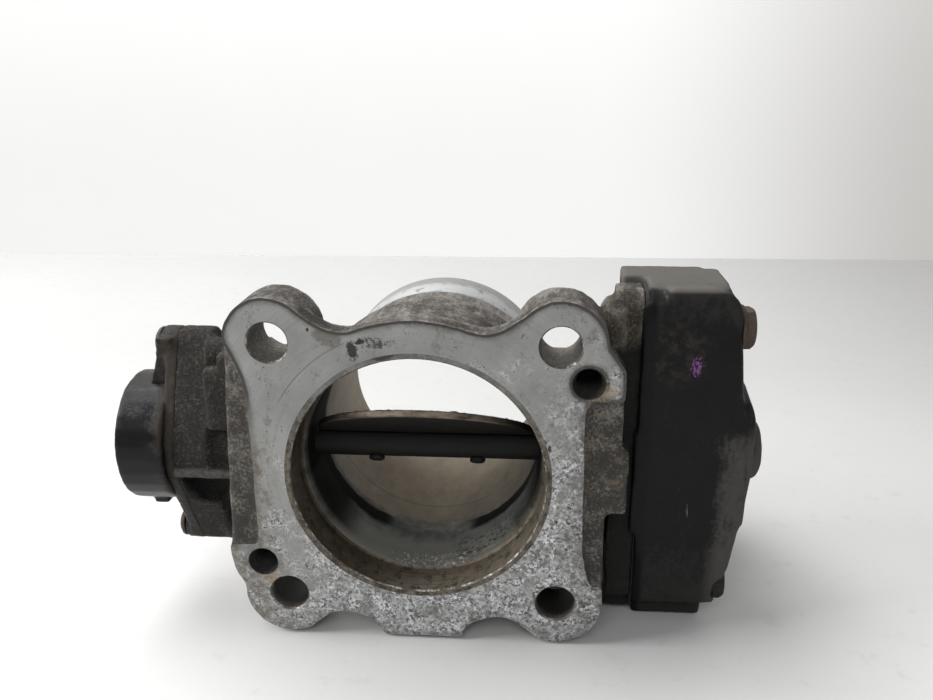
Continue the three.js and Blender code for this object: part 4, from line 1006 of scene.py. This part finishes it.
def build_housing():
    """The casting, milled flat in front, bored, turned and drilled."""
    stock = housing_stock()
    mill = block((-60, -6, -60), (60, 0, 60), cell=1.5)
    tools = [mill, *bored_inside()]
    for x, z in CORNERS:
        tools.append(drill(BOLT_HOLE_R, EAR_DEPTH + 12, 0.35, x, z))
    for x, z in CORNERS:         # spot faces clear the webs behind the ears
        tools.append(rod_y(BOLT_HOLE_R + 3, EAR_DEPTH + 0.3, 24, x, z))
    tools += [threaded_drill(DOWEL_R, 11.5, x, z) for x, z in DOWELS]
    tools += inner_seats()
    tools.append(turned_outside())
    piece = carve(stock, tools)
    mark_face_rim(piece)
    store_wear(piece)

    materials = [cast, strip, face, bore_wall, bright_edge, hole_wall, turned, ring]

    def pick(centres, normals):
        x, y, z = centres.T
        radius = np.hypot(x, z)
        from_mouth = np.hypot(x, z - MOUTH_Z)
        choice = np.zeros(len(x))

        def give(where, material):
            choice[where] = materials.index(material)

        facing = normals[:, 1]
        give((y > 0.02) & (y < 1.7) & (abs(x) > 35) & (facing < -0.5), strip)
        give((abs(y) < 0.02) & (facing < -0.9), face)
        give((from_mouth < STAIN_R - 0.01) & (y > 0.02) & (y < 0.08), ring)
        give((from_mouth < MOUTH_R + 0.29) & (y > 0.08) & (y < 0.38), bright_edge)
        give((from_mouth < MOUTH_R + 0.1) & (y > 0.4) & (y < SPIGOT_END - 0.1), bore_wall)
        in_ear = (y > 0.02) & (y < EAR_DEPTH + 2)
        for a, b in CORNERS:
            away = np.hypot(x - a, z - b)
            give((away < BOLT_HOLE_R + 0.05) & in_ear, hole_wall)
            on_edge = (away > BOLT_HOLE_R) & (away < BOLT_HOLE_R + 0.34)
            give(on_edge & (y < 0.45) & (y > 0.01), bright_edge)
        for a, b in DOWELS:
            give((np.hypot(x - a, z - b) < DOWEL_R + 0.33) & in_ear, hole_wall)
        give((radius > BORE_R + 0.2) & (radius < SPIGOT_R + 0.05) & (y > BAND_START + 0.02), turned)
        return choice

    finish_piece(piece, "housing_casting", "body", "housing", materials, pick, 38)


def mark_face_rim(obj):
    """Stores each face point's distance from the outline of the milled face."""
    co = points_of(obj.data)
    on_face = np.abs(co[:, 1]) < 0.01
    pairs = edges_of(obj.data)
    leaves = on_face[pairs[:, 0]] != on_face[pairs[:, 1]]
    outline = np.unique(pairs[leaves].ravel())
    outline = outline[on_face[outline]]
    away = np.hypot(co[outline, 0], co[outline, 2])
    holes = away < STAIN_R + 2
    for x, z in CORNERS:
        holes |= np.hypot(co[outline, 0] - x, co[outline, 2] - z) < BOLT_HOLE_R + 1
    outline = outline[~holes]
    tree = KDTree(len(outline))
    for k, index in enumerate(outline):
        tree.insert(co[index], k)
    tree.balance()
    rim = np.full(len(co), 10.0)
    for index in np.nonzero(on_face)[0]:
        rim[index] = tree.find(co[index])[2]
    store(obj, "rim", rim)


# ------------------------------------------------------------------ gear cover and sensor


def rounded(name, pieces, voxel, rounds, seed, layers, bend=None):
    """One moulded solid with soft edges; bend may move its points before it is rounded."""
    piece = fuse(name, pieces, voxel)
    if bend:
        bend(piece)
    relax(piece, rounds)
    roughen(piece, layers, seed)
    store_wear(piece)
    return piece


def pushed(node, moves):
    """The CAD node's copy, with the points that lie between two X values moved along X."""
    piece = copy_of(node)
    co = points_of(piece.data)
    x = co[:, 0].copy()
    for low, high, shift in moves:
        co[(x > low) & (x < high), 0] += shift
    move_points(piece, co)
    return piece


def bow(obj):
    """The cover's outer side swells towards the shaft and falls away towards both ends."""
    co = points_of(obj.data)
    x, z = co[:, 0], co[:, 2]
    face = np.interp(z, [-38, -33, -26, -19, -16, 0, 14, 29, 40],
                     [-2, -0.8, 0.8, 1.9, 2.2, 2, 0.9, -0.6, -1.2])
    dome = np.interp(z, [-17, -8, -2, 8, 12, 17], [-1.2, -0.9, -0.3, 0, -0.4, -1.8])
    on_dome = np.clip((x - COVER_FACE) / (DOME_FACE - COVER_FACE), 0, 1)
    share = np.clip((x - 60) / 8, 0, 1)
    co[:, 0] += share * (face + (dome - face) * on_dome)
    move_points(obj, co)


def build_cover():
    """The moulded cover, its rim down on the gasket, with lips over the casting's tray in front."""
    shell = pushed("gear_cover", [(51.3, 51.6, -0.35)])
    upper_lip = block((49.5, COVER_FRONT + 0.05, 7), (52, COVER_FRONT + 1.2, 39))
    lower_lip = block((50.2, COVER_FRONT + 0.05, -36), (52, COVER_FRONT + 1.2, -17))
    corner = [(55, 42.3), (66, 42.3), (69.4, 41.3), (71.6, 39.2), (72.4, 36), (72.4, 31), (55, 31)]
    front = placed_prism(corner, COVER_FRONT + 0.05, COVER_FRONT + 4)
    pieces = [shell, front, upper_lip, lower_lip]
    piece = rounded("cover", pieces, COVER_VOXEL, 9, 9, [(14, 0.05), (3, 0.02)], bow)
    finish_piece(piece, "gear_cover_shell", "body", "gear_cover", [cover_plastic])


def build_sensor():
    """The cap, whose rim reaches the mount, and the mount, whose back reaches the casting."""
    cap = pushed("sensor_cap", [(-62.7, -62.3, 1.2)])
    cap.data.transform(Matrix.Translation((0, 0, 0.4)))
    cap = rounded("cap", [cap], SENSOR_VOXEL, 8, 5, [(8, 0.04)])
    finish_piece(cap, "sensor_cap_shell", "body", "sensor_cap", [sensor_plastic])

    plate = pushed("sensor_mount", [(-60.1, -59.7, 0.8)])
    slope = [(-60.5, 27.5), (-64.4, 27.5), (-65, 22), (-67.5, 14.5), (-60.5, 14.5)]
    arm = placed_prism(slope, SHAFT_Y - 5, SHAFT_Y + 4)
    mount = rounded("mount", [plate, arm], SENSOR_VOXEL, 5, 6, [(6, 0.05), (1.6, 0.05)])
    finish_piece(mount, "sensor_mount_plate", "body", "sensor_mount", [sensor_plastic])


# ------------------------------------------------------------------ plate and shaft


def at_rest(obj):
    """Turns a piece that was drawn with the plate level to the plate's rest angle."""
    middle = Vector((0, SHAFT_Y, 0))
    turn = Matrix.Rotation(math.radians(-REST_ANGLE), 4, "X")
    obj.data.transform(Matrix.Translation(middle) @ turn @ Matrix.Translation(-middle))
    return obj


def screw_holes():
    return [rod(1.8, -9, 9, "Z", (x, SHAFT_Y, 0), 32) for x in PLATE_SCREWS.values()]


def build_plate():
    """The disc, with crumbs of baked oil on the upper edge of its rim."""
    r, bottom, top = PLATE_R, PLATE_BOTTOM, PLATE_TOP
    profile = [(0, bottom), (r - 1, bottom), (r - 0.35, bottom), (r, bottom + 0.3), (r, top - 0.3),
               (r - 0.35, top), (r - 1, top), (r - 1.6, top), (0, top)]
    disc = carve(lathe("plate", profile, "Z", (0, SHAFT_Y, 0), steps=384), screw_holes())
    co = points_of(disc.data)
    on_rim = np.hypot(co[:, 0], co[:, 1] - SHAFT_Y) > r - 0.5
    upper_edge = on_rim & (co[:, 2] > top - 0.4)
    crumbs = np.clip(lumps(co, 0.9, 12), 0, 2) * 0.14
    co[upper_edge, 2] += crumbs[upper_edge]
    move_points(disc, co)
    disc = at_rest(disc)

    def pick(centres, normals):
        x, y, z = centres.T
        angle = math.radians(REST_ANGLE)
        along = (y - SHAFT_Y) * math.cos(angle) - z * math.sin(angle)
        return np.hypot(x, along) > r - 0.25

    finish_piece(disc, "throttle_plate_disc", "throttle", "throttle_plate", [soot, plate_rim], pick)


def build_shaft():
    """The ground shaft, with a flat for the plate and one at each end for the gear and the sensor."""
    low, high = local_box("throttle_shaft")
    r = 4
    profile = [(0, low.x), (r - 0.5, low.x), (r, low.x + 0.5), (r, -28.2), (r, 28.2), (r, high.x - 0.5),
               (r - 0.5, high.x), (0, high.x)]
    shaft = lathe("shaft", profile, "X", (0, SHAFT_Y, 0), steps=64)
    flats = []
    for start, end, level in ((-28.3, 28.3, 1.2), (low.x - 1, -62.5, 2.4), (58.4, high.x + 1, 2.8)):
        flats.append(block((start, SHAFT_Y - 6, level), (end, SHAFT_Y + 6, 6)))
    shaft = at_rest(carve(shaft, flats + screw_holes()))
    finish_piece(shaft, "throttle_shaft_ground", "throttle", "throttle_shaft", [soot])


def cross_recess(centre, axis, reach, half_width):
    """Two crossed slots in a screw's head, 1 mm to each side of centre along its axis."""
    slots = []
    for u, v in ((reach, half_width), (half_width, reach)):
        size = placed([(1, u, v)], axis, (0, 0, 0))[0]
        slots.append(block(np.array(centre) - size, np.array(centre) + size))
    return slots


def build_plate_screws():
    """Button heads with a cross recess; their ends are splayed so that they can't fall out."""
    for node, x in PLATE_SCREWS.items():
        profile = [(0, -5.2), (1.2, -5.2), (1.8, -4.9), (1.95, -4.5), (1.9, -4.1), (1.5, -3.7),
                   (1.5, 3.4), (2.9, 3.4), (3, 3.8), (2.7, 4.4), (1.9, 4.8), (0, 4.9)]
        screw = lathe("screw", profile, "Z", (x, SHAFT_Y, 0), steps=48)
        screw = at_rest(carve(screw, cross_recess((x, SHAFT_Y, 5), "Z", 1.5, 0.35)))
        finish_piece(screw, node + "_head", "throttle", node, [soot])


# ------------------------------------------------------------------ fasteners


def build_cover_bolts():
    """Flanged hex bolts with a dished head; the front two are sunk where the cover is rounded."""
    for node, (y, z) in COVER_BOLTS.items():
        low, high = local_box(node)
        sink = 1.4 if "front" in node else 0
        tip, top = low.x, high.x - sink
        seat = top - 3
        profile = [(0, tip), (2.1, tip), (2.5, tip + 0.5), (2.5, seat), (4.9, seat), (5.2, seat + 0.3),
                   (5.1, seat + 0.7), (4.2, seat + 1.1), (0, seat + 1.1)]
        shank = lathe("shank", profile, "X", (0, y, z), steps=64)
        turns = np.arange(6) * math.pi / 3
        corners = [(y + 4.9 * math.cos(a), z + 4.9 * math.sin(a)) for a in turns]
        head = prism(corners, seat + 0.5, top)
        profile = [(0, seat), (5, seat), (5, top - 0.9), (4.2, top), (2.9, top), (2.5, top - 0.5),
                   (0, top - 0.7)]
        dished = lathe("dome", profile, "X", (0, y, z), steps=64)
        bolt = union([shank, carve(head, [dished], "INTERSECT")])
        finish_piece(bolt, node + "_hex", "body", node, [rust])


def build_sensor_screws():
    """Pan heads with a cross recess."""
    for node, z in SENSOR_SCREWS.items():
        low, high = local_box(node)
        outer, seat, tip = low.x, low.x + 1.6, high.x
        profile = [(0, outer), (1.9, outer), (2.7, outer + 0.2), (3.5, outer + 0.8), (3.7, outer + 1.3),
                   (3.65, seat), (1.6, seat), (1.6, tip - 0.4), (1.2, tip), (0, tip)]
        screw = lathe("screw", profile, "X", (0, SHAFT_Y, z), steps=56)
        screw = carve(screw, cross_recess((outer, SHAFT_Y, z), "X", 1.7, 0.4))
        finish_piece(screw, node + "_head", "body", node, [rust])


# ------------------------------------------------------------------ carried-over nodes


def dress(material, width, *nodes):
    """Gives CAD nodes a material and broken edges."""
    for node in nodes:
        obj = frame["nodes"][node]
        obj.data.materials.clear()
        obj.data.materials.append(material)
        weld = obj.modifiers.new("weld", "WELD")
        weld.merge_threshold = 1e-6
        bevel = obj.modifiers.new("edges", "BEVEL")
        bevel.width = width * MM
        bevel.segments = 2
        bevel.limit_method = "ANGLE"
        bevel.angle_limit = math.radians(40)


def dress_inner_nodes():
    """Every CAD node that isn't replaced by a piece."""
    dress(steel, 0.25, "bearing_sensor_side", "bearing_gear_side", "idler_pin", "motor_can",
          "motor_end_plate", "motor_shaft")
    dress(steel, 0.15, "motor_screw_upper", "motor_screw_lower")
    dress(rubber, 0.12, "seal_sensor_side", "seal_gear_side", "sensor_seal", "cover_gasket")
    dress(spring_steel, 0.02, "return_spring")
    dress(pale_plastic, 0.1, "sector_gear", "idler_gear", "sensor_rotor")
    dress(magnet, 0.2, "motor_magnet_upper", "motor_magnet_lower")
    dress(winding, 0.15, "motor_armature")
    dress(brass, 0.08, "motor_pinion")
    dress(copper, 0.08, "plug_terminals", "sensor_terminals")
    dress(rust, 0.12, "sensor_bush_lower", "sensor_bush_upper")


# ------------------------------------------------------------------ floor, lights and camera


def table_material():
    """Pale laminate, with painted shade towards the right and the back."""
    s = Shade("pale_table")
    cloud = s.noise(60, 3.0, 0.5)
    fine = s.noise(6, 4.0, 0.6, shift=3)
    s.colour = s.mix(cloud, (0.6, 0.595, 0.585), (0.68, 0.675, 0.665))
    s.paint((0.48, 0.47, 0.45), s.step(fine, 0.58, 0.75), 0.3)
    # painted shade towards the right, where the object's shadow falls
    s.paint((0.34, 0.33, 0.32), s.within(x=(40, 300), y=(-40, 300)), 0.75)
    # painted shade towards the back
    s.paint((0.42, 0.42, 0.41), s.step(s.y, 30, 200), 0.5)
    return s.done(s.blend(fine, 0.35, 0.55), 0.0, 0.3)


def wall_material():
    """A plain wall that glows with painted light, paler at the left and at the top."""
    s = Shade("pale_wall")
    across = s.step(s.x, 100, 650)
    grain = s.noise(90, 2.0, 0.5)
    base = s.mix(across, (0.95, 0.95, 0.94), (0.54, 0.525, 0.505))
    tint = s.mix(s.times(grain, 0.08), base, (0.7, 0.7, 0.7))
    high = s.step(s.z, -100, 350)
    # painted light: the wall glows, darker towards the bottom
    glow = s.mix(high, s.mix(0.14, tint, (0, 0, 0)), tint)
    s.feed(s.surface.inputs["Emission Color"], glow)
    s.surface.inputs["Emission Strength"].default_value = 1.07
    s.colour = (0.1, 0.1, 0.1)
    return s.done(0.9, 0.0, 0.1)


def panel(name, corners, material):
    bm = bmesh.new()
    bm.faces.new([bm.verts.new(corner) for corner in corners])
    obj = from_bmesh(name, bm)
    obj.data.materials.append(material)
    return obj


def build_stage():
    """A pale table with a plain wall far behind it, in metres."""
    reach, front, back = 1.6, -1.2, 0.37
    corners = [(-reach, front, 0), (reach, front, 0), (reach, back, 0), (-reach, back, 0)]
    table = panel("table", corners, table_material())
    reach, away, bottom, top = 3, 1.1, -0.6, 2.4
    corners = [(-reach, away, bottom), (reach, away, bottom), (reach, away, top), (-reach, away, top)]
    wall = panel("wall", corners, wall_material())


def area_light(name, place, target, size, power):
    """A soft light at a place, aimed at a target, both in metres."""
    light = bpy.data.lights.new(name, "AREA")
    light.shape = "RECTANGLE"
    light.size, light.size_y = size
    light.energy = power
    obj = bpy.data.objects.new(name, light)
    bpy.context.scene.collection.objects.link(obj)
    obj.location = place
    direction = Vector(target) - Vector(place)
    obj.rotation_euler = direction.to_track_quat("-Z", "Y").to_euler()


def build_lights():
    world = bpy.data.worlds.new("studio")
    world.use_nodes = True
    sky = world.node_tree.nodes["Background"]
    sky.inputs["Color"].default_value = (0.93, 0.96, 1.0, 1)
    sky.inputs["Strength"].default_value = 0.28
    bpy.context.scene.world = world
    middle = (0, 0, 0.04)
    area_light("ceiling", (-0.3, 0.2, 0.9), middle, (0.6, 0.5), 7)
    area_light("left_window", (-0.7, -0.1, 0.45), middle, (0.4, 0.4), 5.8)
    area_light("front_fill", (0, -0.9, 0.8), middle, (0.8, 0.5), 3.7)


def build_camera():
    """A camera in front, above and to the right of the bore, turned a little left and down."""
    data = bpy.data.cameras.new("camera")
    data.sensor_width = 36
    data.lens = 33.3
    data.clip_start = 0.01
    camera = bpy.data.objects.new("camera", data)
    bpy.context.scene.collection.objects.link(camera)
    bpy.context.scene.camera = camera
    yaw, pitch, roll = (math.radians(a) for a in (5.3, -19.3, -1.0))
    turn = Matrix.Rotation(roll, 4, "Y") @ Matrix.Rotation(pitch, 4, "X") @ Matrix.Rotation(yaw, 4, "Z")
    upright = Matrix.Rotation(math.radians(90), 4, "X")
    place = TO_ROW @ Vector((27.7, -173, 91.9))
    camera.matrix_world = Matrix.Translation(place) @ turn @ upright


# ------------------------------------------------------------------ the scene

bpy.context.scene.view_settings.view_transform = "Standard"
build_camera()
build_stage()
build_lights()
build_housing()
build_cover()
build_sensor()
build_plate()
build_shaft()
build_plate_screws()
build_cover_bolts()
build_sensor_screws()
dress_inner_nodes()
